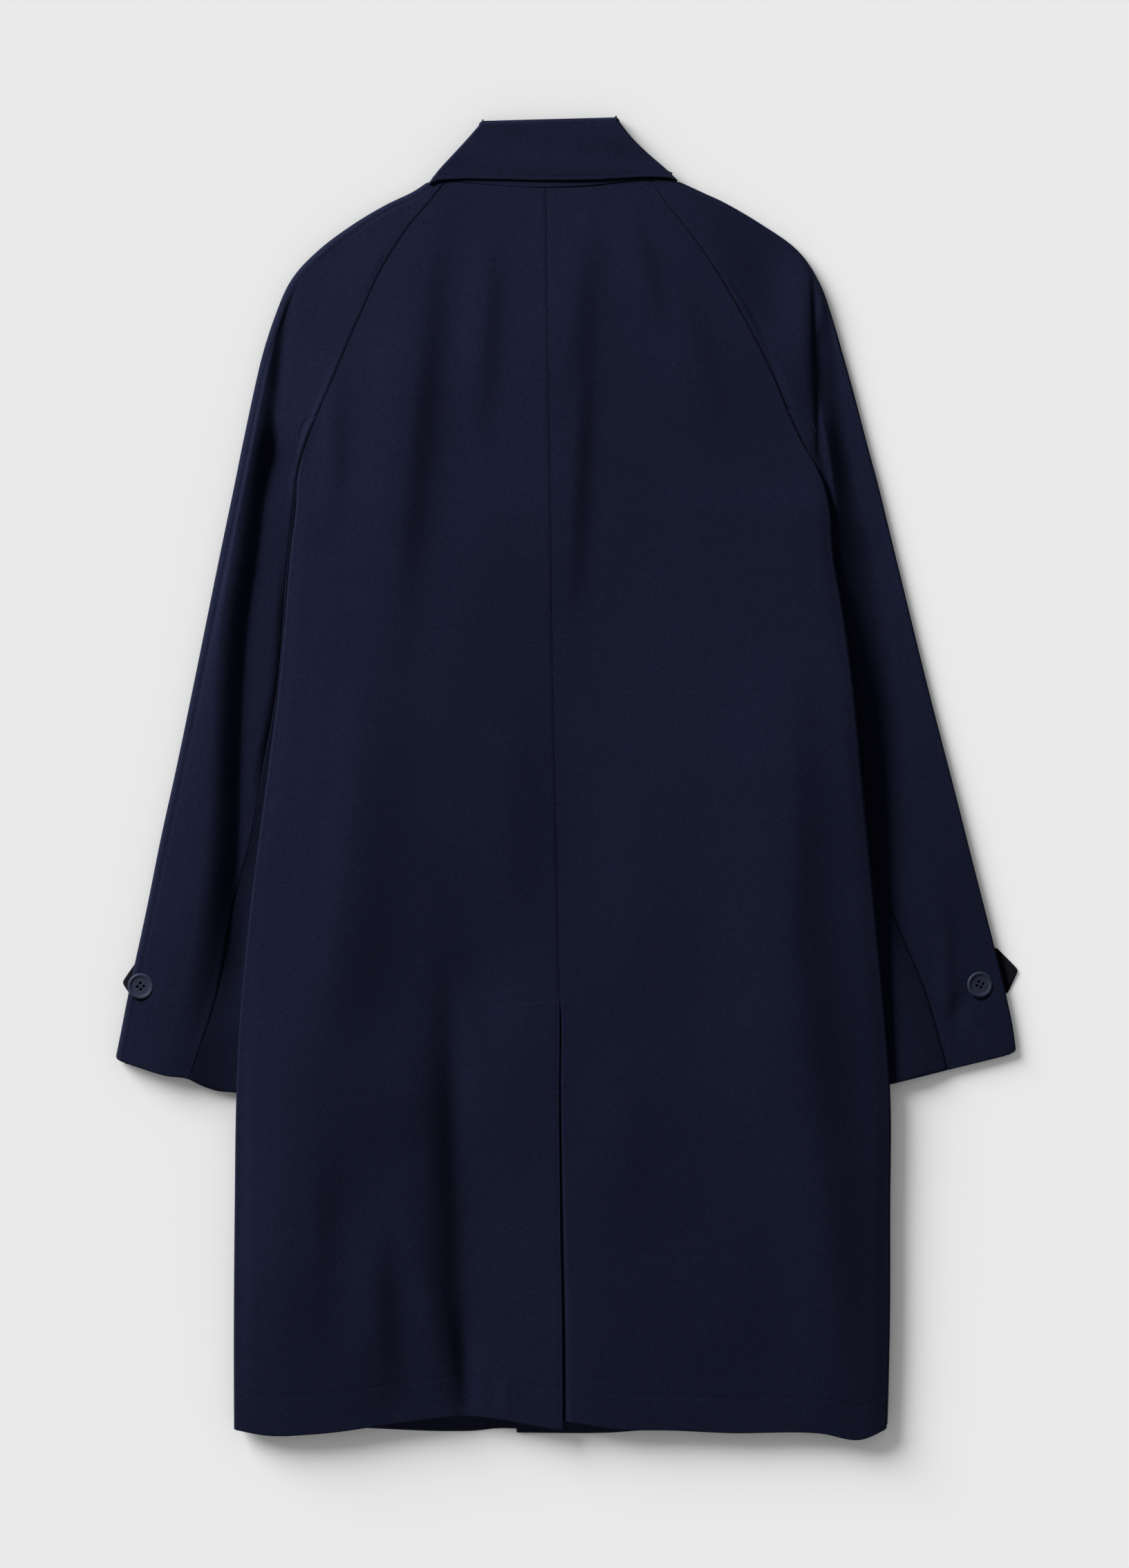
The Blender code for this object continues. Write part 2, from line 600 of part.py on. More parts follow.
def cuff_button(side, plastic, coat, cutters):
    """A turned button with four holes, on the top sleeve's upper face."""
    x, y = BUTTON_CENTRE[side]
    seam_x, _, _, width = sleeve_line(side, y)
    depth = edge_depth(side, y, SLEEVES[side].at("roll", y) / 2)
    rest = top_sleeve_height(side, x, y, y, abs(x - seam_x), width, depth)
    profile = bpy.data.meshes.new(f"cuff_button_{side}")
    edges = [(k, k + 1) for k in range(len(BUTTON_PROFILE) - 1)]
    profile.from_pydata([(r * MM, 0, z * MM) for r, z in BUTTON_PROFILE], edges, [])
    button = add(f"cuff_button_{side}", profile, plastic, coat)
    button.location = (x * MM, y * MM, float(rest + SEAM) * MM)
    screw = button.modifiers.new("turned", "SCREW")
    screw.steps = BUTTON_STEPS
    screw.render_steps = BUTTON_STEPS
    screw.use_merge_vertices = True
    screw.merge_threshold = 0.00001
    holes = bmesh.new()
    radius = HOLE_RADIUS * MM
    out = HOLE_SPACING / math.sqrt(2) * MM
    for k in range(HOLES):
        angle = 2 * math.pi * (k + 0.5) / HOLES
        made = bmesh.ops.create_cone(
            holes, cap_ends=True, segments=HOLE_SEGMENTS, radius1=radius, radius2=radius,
            depth=DRILL_LENGTH * MM)
        move = (out * math.cos(angle), out * math.sin(angle), 0)
        bmesh.ops.translate(holes, verts=made["verts"], vec=move)
    drill_mesh = bpy.data.meshes.new(f"button_holes_{side}")
    holes.to_mesh(drill_mesh)
    holes.free()
    drill = add(f"button_holes_{side}", drill_mesh, None, cutters)
    drill.location = button.location
    drill.hide_render = True
    drill.display_type = "WIRE"
    cut = button.modifiers.new("holes", "BOOLEAN")
    cut.object = drill
    cut.operation = "DIFFERENCE"


for old in list(bpy.data.objects):
    bpy.data.objects.remove(old)
coat = bpy.data.collections.new(COAT)
cutters = bpy.data.collections.new("cutters")
bpy.context.scene.collection.children.link(coat)
bpy.context.scene.collection.children.link(cutters)
for side in SIGN:
    back(side, navy_cloth(f"back_{side}"), coat)
    front(side, navy_cloth(f"front_{side}"), coat)
    top_sleeve(side, navy_cloth(f"top_sleeve_{side}"), coat)
    under_sleeve(side, navy_cloth(f"under_sleeve_{side}"), coat)
    cuff_tab(side, navy_cloth(f"cuff_tab_{side}"), coat)
    plastic = material(f"cuff_button_{side}_plastic", BUTTON_NAVY, BUTTON_ROUGHNESS)
    cuff_button(side, plastic, coat, cutters)
collar_fall(navy_cloth("collar_fall"), coat)
collar_stand(navy_cloth("collar_stand"), coat)
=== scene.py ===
import math

import bmesh
import bpy
import numpy as np
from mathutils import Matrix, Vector
from mathutils.bvhtree import BVHTree


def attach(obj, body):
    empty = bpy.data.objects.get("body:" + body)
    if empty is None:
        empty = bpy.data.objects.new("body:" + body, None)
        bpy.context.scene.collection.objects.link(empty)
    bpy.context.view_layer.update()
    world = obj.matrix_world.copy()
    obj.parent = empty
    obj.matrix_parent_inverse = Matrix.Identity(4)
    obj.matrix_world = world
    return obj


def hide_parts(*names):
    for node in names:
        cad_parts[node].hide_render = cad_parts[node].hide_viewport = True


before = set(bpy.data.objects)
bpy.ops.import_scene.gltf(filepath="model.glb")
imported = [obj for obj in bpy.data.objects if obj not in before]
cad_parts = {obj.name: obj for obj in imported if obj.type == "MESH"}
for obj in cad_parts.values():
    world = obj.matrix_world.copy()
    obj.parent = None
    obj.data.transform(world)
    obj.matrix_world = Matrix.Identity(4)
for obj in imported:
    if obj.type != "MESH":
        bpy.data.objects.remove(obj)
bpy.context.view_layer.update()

# Backs
# Two halves of navy twill, sewn together down the centre back with one row of topstitching beside the seam.
# Below the vent's top the left half lies over the right one's underlap. Under the arms both turn round the
# side folds to the side seams. Sizes are in millimetres, on the same plan as the solids.
MM = 0.001
WALL = 1.5
SEAM = 0.4
CLOSED_SEAM = 0.02
SIGN = {"left": -1, "right": 1}


class Sections:
    """Sections of a piece: a row for each section, read smoothly between the rows by column name."""

    def __init__(self, names, *rows):
        data = np.array(sorted(rows), float)
        self.stations = data[:, 0]
        self.columns = dict(zip(names.split()[1:], data.T[1:]))

    def at(self, name, station):
        station = np.clip(station, self.stations[0], self.stations[-1])
        values = self.columns[name]
        slopes = np.gradient(values, self.stations)
        k = np.clip(np.searchsorted(self.stations, station) - 1, 0, len(values) - 2)
        step = self.stations[k + 1] - self.stations[k]
        t = (station - self.stations[k]) / step
        bend = slopes[k] * (1 - t) - slopes[k + 1] * t
        return values[k] + (values[k + 1] - values[k]) * t * t * (3 - 2 * t) + step * t * (1 - t) * bend


def smooth(t):
    """0 below 0, 1 above 1, and an even rise between."""
    t = np.clip(t, 0, 1)
    return t * t * (3 - 2 * t)


def mix(start, end, t):
    return start + (end - start) * t


def bump(distance, width):
    """1 at no distance, and gone at about twice the width."""
    return np.exp(-((distance / width) ** 2))


# Left and right are the raglan seams down to the underarm and the side folds below it. The tops and middle
# are heights of the back, and the lifts are how high the sleeves raise the side folds.
BODY = Sections(
    "y left right centre left_top right_top middle left_lift right_lift",
    (476, -91.0, 63.0, -16.0, 10.0, 10.0, 10.0, 0.0, 0.0),
    (442, -122.0, 92.0, -15.8, 12.0, 12.0, 12.5, 0.0, 0.0),
    (410, -143.4, 115.0, -15.5, 14.0, 13.5, 14.5, 0.0, 0.0),
    (366, -164.4, 141.4, -15.0, 15.0, 14.5, 16.0, 0.0, 0.0),
    (318, -185.0, 165.5, -14.0, 16.0, 15.0, 17.0, 0.0, 0.0),
    (290, -197.0, 177.0, -13.6, 16.0, 15.2, 17.0, 0.0, 0.0),
    (268, -206.0, 187.0, -13.2, 16.0, 15.5, 17.0, 2.0, 2.0),
    (237, -213.8, 203.5, -12.6, 16.0, 17.0, 17.0, 6.0, 10.5),
    (217, -214.8, 208.5, -12.4, 16.5, 19.0, 17.0, 7.2, 13.5),
    (180, -219.2, 211.5, -12.0, 16.5, 19.8, 17.0, 7.5, 14.0),
    (125, -223.8, 220.8, -11.4, 17.0, 22.0, 17.0, 7.5, 14.0),
    (70, -229.0, 228.0, -10.6, 17.0, 25.2, 17.0, 7.5, 11.5),
    (15, -236.0, 233.2, -9.4, 17.5, 26.5, 17.0, 7.5, 11.0),
    (-95, -250.2, 244.0, -7.0, 18.0, 23.0, 17.0, 7.5, 11.0),
    (-205, -260.4, 254.1, -5.6, 18.0, 19.5, 17.5, 7.5, 13.0),
    (-250, -262.3, 257.0, -6.0, 18.0, 18.5, 18.0, 7.0, 12.5),
    (-340, -263.7, 257.2, -5.2, 17.5, 17.5, 18.0, 6.0, 8.0),
    (-455, -264.5, 256.6, -3.4, 16.5, 17.0, 18.0, 5.0, 5.5),
    (-516, -264.3, 254.4, -3.2, 16.5, 16.5, 18.0, 5.0, 5.0),
)

# Folds and creases: a line from start to end, how far it bows to the right, how far the slope runs on each
# side of it, and its height (a trough is below zero).
FOLD_COLUMNS = "start_x start_y end_x end_y bow left_slope right_slope height".split()
FOLD_FADE = 0.45
RIPPLE = 0.22
RIPPLE_SLANTED = 0.16
BACK_FOLDS = (
    # Hanging from the yoke.
    (-100, 505, -145, 45, -4, 40, 20, 7.5),
    (-65, 455, -75, 255, 3, 20, 12, 3.5),
    (15, 470, -15, 275, 4, 35, 15, 3.0),
    (10, 400, -5, 90, 2, 60, 12, 4.5),
    (45, 460, 75, 350, 0, 15, 10, 2.0),
    (70, 420, 120, 250, 6, 30, 15, 2.5),
    (-185, 350, -190, 180, 2, 12, 10, 2.5),
    # Over the waist and below it.
    (-60, 305, -120, -75, -3, 55, 40, 2.5),
    (-160, 160, -215, -310, 16, 25, 35, 5.5),
    (-50, 160, -60, -180, 4, 65, 30, 4.5),
    (-110, -25, -35, -240, 2, 20, 40, -2.5),
    (45, 95, 60, -215, 5, 30, 55, 2.5),
    (170, 120, 180, -150, 2, 65, 20, 4.0),
    (160, -10, 195, -310, 0, 55, 28, 8.0),
    (40, -200, 45, -370, 0, 30, 20, 1.5),
    (190, -135, 225, -550, -8, 50, 30, 8.0),
    (160, -300, 185, -515, 4, 30, 35, -3.0),
    # Along the left side.
    (-175, 275, -225, -325, 4, 30, 75, 4.0),
    (-215, -100, -215, -585, -5, 35, 70, 8.0),
    (-200, -250, -195, -475, -5, 40, 18, 3.5),
    # Beside the vent, down to the tucks in the hem's stitching.
    (-155, -330, -145, -515, -2, 30, 15, 5.5),
    (-140, -295, -85, -515, -1, 22, 15, 3.0),
    (-140, -180, -128, -305, 0, 55, 22, 2.0),
    (-90, -90, -70, -575, -4, 16, 35, -8.5),
    (-72, -150, -64, -350, -2, 12, 45, 2.5),
    (-55, -200, -20, -550, -2, 40, 40, -4.5),
    (-86, -405, -77, -530, 1, 7, 12, -3.0),
    (-60, -460, -57, -520, 0, 4, 3, -0.8),
    (-48, -462, -45, -518, 0, 5, 3, 0.6),
)

# Seams and lines of stitches: how far the cloth dips into them, how wide, and the rows close to them.
SEAM_DIP = 0.5
RAGLAN_DIP = 1.1
SEAM_WIDTH = 0.9
STITCH_DIP = 0.12
STITCH_WIDTH = 0.8
TOPSTITCH = 2.1
SEAM_STEPS = np.array((0, 0.25, 0.6, 1.0, 1.4, 1.8, 2.2, 2.6, 3.1, 3.8, 5.0, 6.6))
LINE_STEPS = np.array((-3.0, -1.8, -1.2, -0.8, -0.4, 0, 0.4, 0.8, 1.2, 1.8, 3.0))

# Side folds, from just above the underarm on.
TURN_START = 266
TURN_END = 228
YOKE_END = 255
YOKE_FULL = 290
SIDE_SEAM = 1.1
SIDE_DEPTH = 2.2
EDGE_FALL = {"left": 1.0, "right": 1.5}
EDGE_FALL_FROM = 0.95
EDGE_FALL_PAST = 20
EDGE_BAND = 6
SMOOTH_EDGE = 0.06
FINE_COLUMNS = 64
EDGE_COLUMNS = 13
BACK_ROW = 3.4

# Vent, neck and hem.
VENT_TOP = -176
VENT_FULL = -192
VENT_DROP = WALL + 0.4
VENT_SLOPE = (2.5, 7)
VENT_FLAT = 0.5
VENT_LIP = 0.4
VENT_LIP_WIDTH = 16
VENT_LIP_FADE = 90
VENT_LINE_SLANT = 0.09
VENT_LINE_STRAIGHT = 46
VENT_LINE_BEND = 34
VENT_LINE_DROP = 9
SEWN_FADE = 4
UNDERLAP = 76
UNDERLAP_COLUMNS = 26
FACING_RISE = 0.25
FACING_WIDTH = 84
FACING_SLOPE = 8
FACING_TOP_SLOPE = 1.6
FACING_DEPTH = 60
FACING_FADE = 40
COLLAR_MIDDLE = -13.0
NECK_TOP = 473
NECK_LOW = 470
NECK_RISE = 6.7
NECK_TILT = 0.013
NECK_HALF = 79
NECK_FADE = 18
HEM = -516
HEM_LEVEL = 40
HEM_FADE = 110
HEM_TURN_UP = {"left": 31, "right": 27}
HEM_DIP = 0.13
HEM_DIP_WIDTH = 1.8
HEM_LINE = {
    "left": Sections(
        "x y",
        *((-264, -516.0), (-238, -520.5), (-200, -519.4), (-128, -510.0)),
        *((-85, -505.5), (-4, -516.5)),
    ),
    "right": Sections(
        "x y",
        *((-85, -501.0), (-4, -509.0), (40, -515.5), (85, -516.5), (128, -518.5)),
        *((202, -519.0), (235, -523.6), (254, -515.5)),
    ),
}
SNAP_CENTRE = (-22.0, -437.0)
SNAP_RADIUS = 7.0
SNAP_RING = 0.5
SNAP_RING_WIDTH = 1.6
SNAP_RISE = 0.3
SNAP_SLOPE = 3


class Shade:
    """A socket of a shader. Operators between sockets and numbers add Math nodes, and node() adds any other
    kind: its settings are set first, then the values or links of its sockets."""

    def __init__(self, tree, socket=None):
        self.tree = tree
        self.socket = socket

    def node(self, kind, settings=None, inputs=None, out=0):
        made = self.tree.nodes.new("ShaderNode" + kind)
        for key, value in (settings or {}).items():
            setattr(made, key, value)
        for key, value in (inputs or {}).items():
            if isinstance(value, Shade):
                self.tree.links.new(value.socket, made.inputs[key])
            else:
                made.inputs[key].default_value = value
        return Shade(self.tree, made.outputs[out])

    def math(self, operation, first, second=0.0):
        return self.node("Math", {"operation": operation}, {0: first, 1: second})

    def __add__(self, other):
        return self.math("ADD", self, other)

    def __sub__(self, other):
        return self.math("SUBTRACT", self, other)

    def __rsub__(self, other):
        return self.math("SUBTRACT", other, self)

    def __mul__(self, other):
        return self.math("MULTIPLY", self, other)

    __radd__ = __add__
    __rmul__ = __mul__

    def feed(self, surface, name):
        self.tree.links.new(self.socket, surface.inputs[name])


# Woven finish: fine warp and weft threads with a faint diagonal rib, in two navy yarns.
NAVY_DARK = (0.0036, 0.0049, 0.0150, 1)
NAVY_LIGHT = (0.0100, 0.0125, 0.0340, 1)
THREAD_FINE = 1150
THREAD_LONG = 360
RIB_PITCH = 0.0011
MOTTLE_SCALE = 26


def new_surface(name):
    made = bpy.data.materials.new(name)
    made.use_nodes = True
    return made, made.node_tree.nodes["Principled BSDF"], Shade(made.node_tree)


def twill(name, grain=0.0, dark=NAVY_DARK, light=NAVY_LIGHT):
    """Matte cloth in two yarns whose threads run along y, turned by the angle of the grain."""
    made, surface, shade = new_surface(name)
    place = shade.node("TexCoord", out=3)
    turned = shade.node("Mapping", None, {"Vector": place, "Rotation": (0, 0, -grain)})
    fine, long = THREAD_FINE, THREAD_LONG
    warp_at = shade.node("Mapping", None, {"Vector": turned, "Scale": (fine, long, fine)})
    weft_at = shade.node("Mapping", None, {"Vector": turned, "Scale": (long, fine, long)})
    warp = shade.node("TexNoise", None, {"Vector": warp_at, "Scale": 1.0, "Detail": 2.0})
    weft = shade.node("TexNoise", None, {"Vector": weft_at, "Scale": 1.0, "Detail": 2.0})
    wave = 2 * math.pi / RIB_PITCH / math.sqrt(2)
    run = shade.node("VectorMath", {"operation": "DOT_PRODUCT"}, {0: turned, 1: (wave, wave, 0)}, out=1)
    rib = shade.math("SINE", run)
    mottle = shade.node("TexNoise", None, {"Vector": turned, "Scale": MOTTLE_SCALE, "Detail": 3.0})
    threads = warp * 0.9 + weft * 0.9 - 0.4 + rib * 0.05 + (mottle - 0.5) * 0.15
    mixed = {0: threads, 6: dark, 7: light}
    shade.node("Mix", {"data_type": "RGBA", "clamp_factor": True}, mixed, out=2).feed(surface, "Base Color")
    (1.0 - threads * 0.16).feed(surface, "Roughness")
    height = warp + weft + rib * 0.25
    bumped = {"Height": height, "Strength": 0.35, "Distance": 0.00035}
    shade.node("Bump", None, bumped).feed(surface, "Normal")
    surface.inputs["Specular IOR Level"].default_value = 0.08
    surface.inputs["Sheen Weight"].default_value = 0.03
    surface.inputs["Sheen Roughness"].default_value = 0.4
    surface.inputs["Sheen Tint"].default_value = (0.62, 0.70, 1.0, 1)
    return made


coat = bpy.data.collections.new("coat")
bpy.context.scene.collection.children.link(coat)


def put(name, mesh, surface, replaced=None):
    """Adds a piece that rides on the coat's one body."""
    made = bpy.data.objects.new(name, mesh)
    mesh.materials.append(surface)
    coat.objects.link(made)
    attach(made, "root")
    if replaced:
        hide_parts(replaced)
    return made


RIM_ANGLES = [math.radians(angle) for angle in (45, 90, 135)]


def shell(name, x, y, z, wall=WALL, turned=False, keep=None, free=None):
    """A panel's mesh from the points of its outer face: an inner face one wall behind it and a rim between
    them, which is rounded where free is 1 and square where it is 0."""
    points = np.stack(np.broadcast_arrays(x, y, z), axis=-1)
    rows, columns, _ = points.shape
    normal = np.cross(np.gradient(points, axis=1), np.gradient(points, axis=0))
    normal = normal / np.linalg.norm(normal, axis=-1, keepdims=True) * (-1 if turned else 1)
    points = points.reshape(-1, 3)
    normal = normal.reshape(-1, 3)
    total = rows * columns
    number = np.arange(total).reshape(rows, columns)
    quads = np.stack([number[:-1, :-1], number[:-1, 1:], number[1:, 1:], number[1:, :-1]], axis=-1)
    quads = quads.reshape(-1, 4) if keep is None else quads[keep]
    if turned:
        quads = quads[:, ::-1]
    starts = quads.ravel()
    ends = np.roll(quads, -1, axis=1).ravel()
    on_rim = ~np.isin(starts * total + ends, ends * total + starts)
    starts = starts[on_rim]
    ends = ends[on_rim]
    edge = np.unique(starts)
    outwards = np.zeros_like(points)
    aside = np.cross(points[ends] - points[starts], normal[starts])
    np.add.at(outwards, starts, aside)
    np.add.at(outwards, ends, aside)
    outwards = outwards[edge] / np.linalg.norm(outwards[edge], axis=1, keepdims=True)
    outwards = outwards * (0 if free is None else free.ravel()[edge][:, None])
    levels = [points, points - wall * normal]
    for angle in RIM_ANGLES:
        back_in = (math.cos(angle) - 1) * normal[edge]
        levels.append(points[edge] + wall / 2 * (back_in + math.sin(angle) * outwards))
    place = np.zeros(total, int)
    place[edge] = np.arange(len(edge))
    ladder = [np.arange(total)]
    ladder += [2 * total + k * len(edge) + place for k in range(len(RIM_ANGLES))]
    ladder += [np.arange(total) + total]
    faces = [quads, quads[:, ::-1] + total]
    for near, far in zip(ladder, ladder[1:]):
        faces.append(np.stack([near[ends], near[starts], far[starts], far[ends]], axis=1))
    faces = np.concatenate(faces)
    used, faces = np.unique(faces, return_inverse=True)
    mesh = bpy.data.meshes.new(name)
    mesh.from_pydata(np.concatenate(levels)[used] * MM, [], faces.reshape(-1, 4).tolist())
    mesh.shade_smooth()
    mesh.set_sharp_from_angle(angle=math.radians(60))
    return mesh


def spaced(step, *marks):
    """Values from the first mark to the last, no further apart than the step, with each mark among them."""
    parts = []
    for start, end in zip(marks, marks[1:]):
        count = max(1, math.ceil(abs(end - start) / step))
        parts.append(np.linspace(start, end, count + 1)[:-1])
    return np.concatenate(parts + [[marks[-1]]])


def rows_with_lines(step, marks, lines):
    """Rows from the first mark down to the last, with close rows along lines of stitches."""
    extra = [line + LINE_STEPS for line in lines]
    rows = np.concatenate([spaced(step, *marks)] + extra)
    rows = np.unique(np.clip(rows.round(2), marks[-1], marks[0]))[::-1]
    return rows[:, None]


def folds(table, x, y):
    """Height that the folds add at x, y."""
    total = np.zeros(np.broadcast(x, y).shape)
    for row in table:
        fold = dict(zip(FOLD_COLUMNS, row))
        run_x = fold["end_x"] - fold["start_x"]
        run_y = fold["end_y"] - fold["start_y"]
        length = math.hypot(run_x, run_y)
        along = ((x - fold["start_x"]) * run_x + (y - fold["start_y"]) * run_y) / length ** 2
        right = ((fold["start_y"] - y) * run_x + (x - fold["start_x"]) * run_y) / -length
        right = right - fold["bow"] * 4 * along * (1 - along)
        slope = np.where(right < 0, fold["left_slope"], fold["right_slope"])
        fade = smooth(along / FOLD_FADE) * smooth((1 - along) / FOLD_FADE)
        total = total + fold["height"] * bump(right, slope) * fade
    return total


def ripple(x, y):
    """Faint unevenness of cloth that has been smoothed out by hand."""
    crossed = RIPPLE * np.sin(x / 19 + y / 71 + 0.7) * np.sin(y / 43 - x / 90)
    return crossed + RIPPLE_SLANTED * np.sin(x / 33 - y / 29 + 2.1)


def neck_line(x):
    """The back's neck seam, which rises to both sides of the collar's middle."""
    out = x - COLLAR_MIDDLE
    return NECK_LOW + NECK_RISE * (out / NECK_HALF) ** 2 + NECK_TILT * out


def lift(side, y):
    """How high the sleeve underneath raises the side fold."""
    return np.maximum(BODY.at(f"{side}_lift", y), 0)


def yoke(y):
    """1 above the underarms, where the sleeves are sewn flat to the backs, and 0 below them."""
    return smooth((y - YOKE_END) / (YOKE_FULL - YOKE_END))


def edge_fall(side, y):
    """How far the back sinks beside the side fold."""
    return EDGE_FALL[side] * smooth((TURN_START - y) / (TURN_START - TURN_END + EDGE_FALL_PAST))


def side_fold(side, y):
    """Where the side fold starts across the coat, its radius and depth, and how far round a panel reaches."""
    radius = (BODY.at(f"{side}_top", y) - edge_fall(side, y) - lift(side, y)) / 2
    turn = (math.pi / 2 - SIDE_SEAM / 2 / radius) * smooth((TURN_START - y) / (TURN_START - TURN_END))
    depth = np.minimum(radius, SIDE_DEPTH)
    start = BODY.at(side, y) - SIGN[side] * (depth * np.sin(turn) + SEAM / 2)
    return start, radius, depth, turn


def body_panel(side, y, inner, columns=FINE_COLUMNS):
    """Columns of a body panel from its inner edge to the side seam: x where it is flat, x, how far the side
    fold has turned it out of the flat, and the distances from the inner edge and from the side edge."""
    start, radius, depth, turn = side_fold(side, y)
    flat = np.abs(start - inner)
    total = flat + radius * turn
    band = np.maximum(radius * turn, EDGE_BAND)
    even = mix(SEAM_STEPS[-1], total - band, np.linspace(0, 1, columns + 1)[1:-1])
    close = total - band * np.linspace(1, 0, EDGE_COLUMNS)
    run = np.concatenate([SEAM_STEPS + 0 * y, even, close], axis=1)
    angle = np.clip((run - flat) / radius, 0, None)
    flat_x = inner + SIGN[side] * np.minimum(run, flat)
    x = flat_x + SIGN[side] * depth * np.sin(angle)
    return flat_x, x, radius * (1 - np.cos(angle)), run, total - run


def back_top(x, y):
    """Height of the back's outer face."""
    centre = BODY.at("centre", y)
    edge = np.where(x < centre, BODY.at("left", y), BODY.at("right", y))
    edge_top = np.where(x < centre, BODY.at("left_top", y), BODY.at("right_top", y))
    across = np.clip((x - centre) / (edge - centre), 0, 1)
    sag = (1 - across ** 2) ** 2
    away = mix(smooth((1 - across) / SMOOTH_EDGE), 1, yoke(y))
    fall = np.where(x < centre, edge_fall("left", y), edge_fall("right", y))
    beside = smooth((across - EDGE_FALL_FROM) / (1 - EDGE_FALL_FROM))
    flat = mix(edge_top, BODY.at("middle", y), sag) - fall * beside
    return flat + (folds(BACK_FOLDS, x, y) + ripple(x, y)) * away


def back_y(side, x, y):
    """Rows of the back, bent to the neck line at the top and the hem line at the bottom."""
    neck = neck_line(x) - SEAM / 2 - NECK_TOP
    hem = HEM_LINE[side].at("y", x) - HEM
    at_neck = smooth((y - NECK_TOP + NECK_FADE) / NECK_FADE)
    at_hem = smooth((HEM + HEM_FADE - y) / (HEM_FADE - HEM_LEVEL))
    return y + neck * at_neck + hem * at_hem


def vent_top_line(x):
    """The slanting line of stitches that closes the vent's top on the left back."""
    out = np.clip(BODY.at("centre", VENT_TOP) - x, 0, None)
    bent = smooth((out - VENT_LINE_STRAIGHT) / VENT_LINE_BEND)
    return VENT_TOP + 1 - VENT_LINE_SLANT * out - VENT_LINE_DROP * bent


def snap_mark(x, y):
    """The faint ring that a snap fastener under the vent presses into the cloth."""
    away = np.hypot(x - SNAP_CENTRE[0], y - SNAP_CENTRE[1])
    ring = SNAP_RING * bump(away - SNAP_RADIUS, SNAP_RING_WIDTH)
    return ring + SNAP_RISE * smooth((SNAP_RADIUS - away) / SNAP_SLOPE)


def facing_rise(inside, x, y):
    """How far the vent's facing raises the left back, below the vent's line of stitches."""
    below = smooth((vent_top_line(x) - y) / FACING_TOP_SLOPE)
    beside = smooth((FACING_WIDTH - inside) / FACING_SLOPE)
    return FACING_RISE * below * beside * smooth((y - VENT_TOP + FACING_DEPTH) / FACING_FADE)


def back(side):
    """Rows from the neck to the hem. The right back has the vent's underlap in front of its first column."""
    line = HEM + HEM_TURN_UP[side]
    marks = (NECK_TOP, NECK_TOP - 4, VENT_TOP, VENT_FULL, HEM + 3, HEM)
    y = rows_with_lines(BACK_ROW, marks, (line, VENT_TOP - 2, HEM + 1))
    centre = BODY.at("centre", y)
    sewn = smooth((y - VENT_TOP) / SEWN_FADE)
    seam = centre + SIGN[side] * mix(SEAM / 2, CLOSED_SEAM, sewn)
    flat_x, x, down, inside, outside = body_panel(side, y, seam)
    keep = None
    if side == "right":
        out = np.linspace(1, 0, UNDERLAP_COLUMNS + 1)[:-1]
        under_x = centre - SEAM / 2 - UNDERLAP * out
        flat_x = np.concatenate([under_x, flat_x], axis=1)
        x = np.concatenate([under_x, x], axis=1)
        down = np.concatenate([np.zeros(under_x.shape), down], axis=1)
        outside = np.concatenate([np.full(under_x.shape, UNDERLAP), outside], axis=1)
        below = np.broadcast_to(y, x.shape) <= VENT_FULL
        keep = below[:-1, :-1] | (np.arange(x.shape[1] - 1) >= UNDERLAP_COLUMNS)
    free = np.zeros(x.shape)
    free[:, 0] = 1 - sewn[:, 0] if side == "left" else 1
    free[-1] = 1
    bent_y = back_y(side, x, y)
    z = back_top(flat_x, bent_y) - down
    z = z - HEM_DIP * bump(y - line, HEM_DIP_WIDTH)
    if side == "left":
        z = z - SEAM_DIP * bump(inside, SEAM_WIDTH) * sewn
        z = z - STITCH_DIP * bump(inside - TOPSTITCH, STITCH_WIDTH)
        z = z + VENT_LIP * bump(inside, VENT_LIP_WIDTH) * smooth((VENT_FULL - y) / VENT_LIP_FADE)
        z = z + facing_rise(inside, x, bent_y) + snap_mark(x, bent_y)
    else:
        raglan = smooth((y - TURN_END) / (TURN_START - TURN_END))
        z = z - RAGLAN_DIP * bump(outside, SEAM_WIDTH) * raglan
        slope = mix(*VENT_SLOPE, smooth((VENT_FULL - y) / (VENT_FULL - HEM)))
        vent = smooth((centre + slope - x) / (slope - VENT_FLAT))
        z = z - VENT_DROP * vent * smooth((VENT_TOP - y) / (VENT_TOP - VENT_FULL))
    return shell(f"back_{side}_cloth", x, bent_y, z, turned=side == "right", keep=keep, free=free)


# Stitches: short rounded lengths of thread, pulled down at both ends.
STITCH_ALONG = np.array((-1, -0.72, 0, 0.72, 1))
STITCH_ROUND = np.array((0.45, 0.9, 1, 0.9, 0.45))
STITCH_ARCH = 0.9
STITCH_SIDES = 6
DOWN = Vector((0, 0, -1))


def unit(vectors):
    return vectors / np.linalg.norm(vectors, axis=1, keepdims=True)


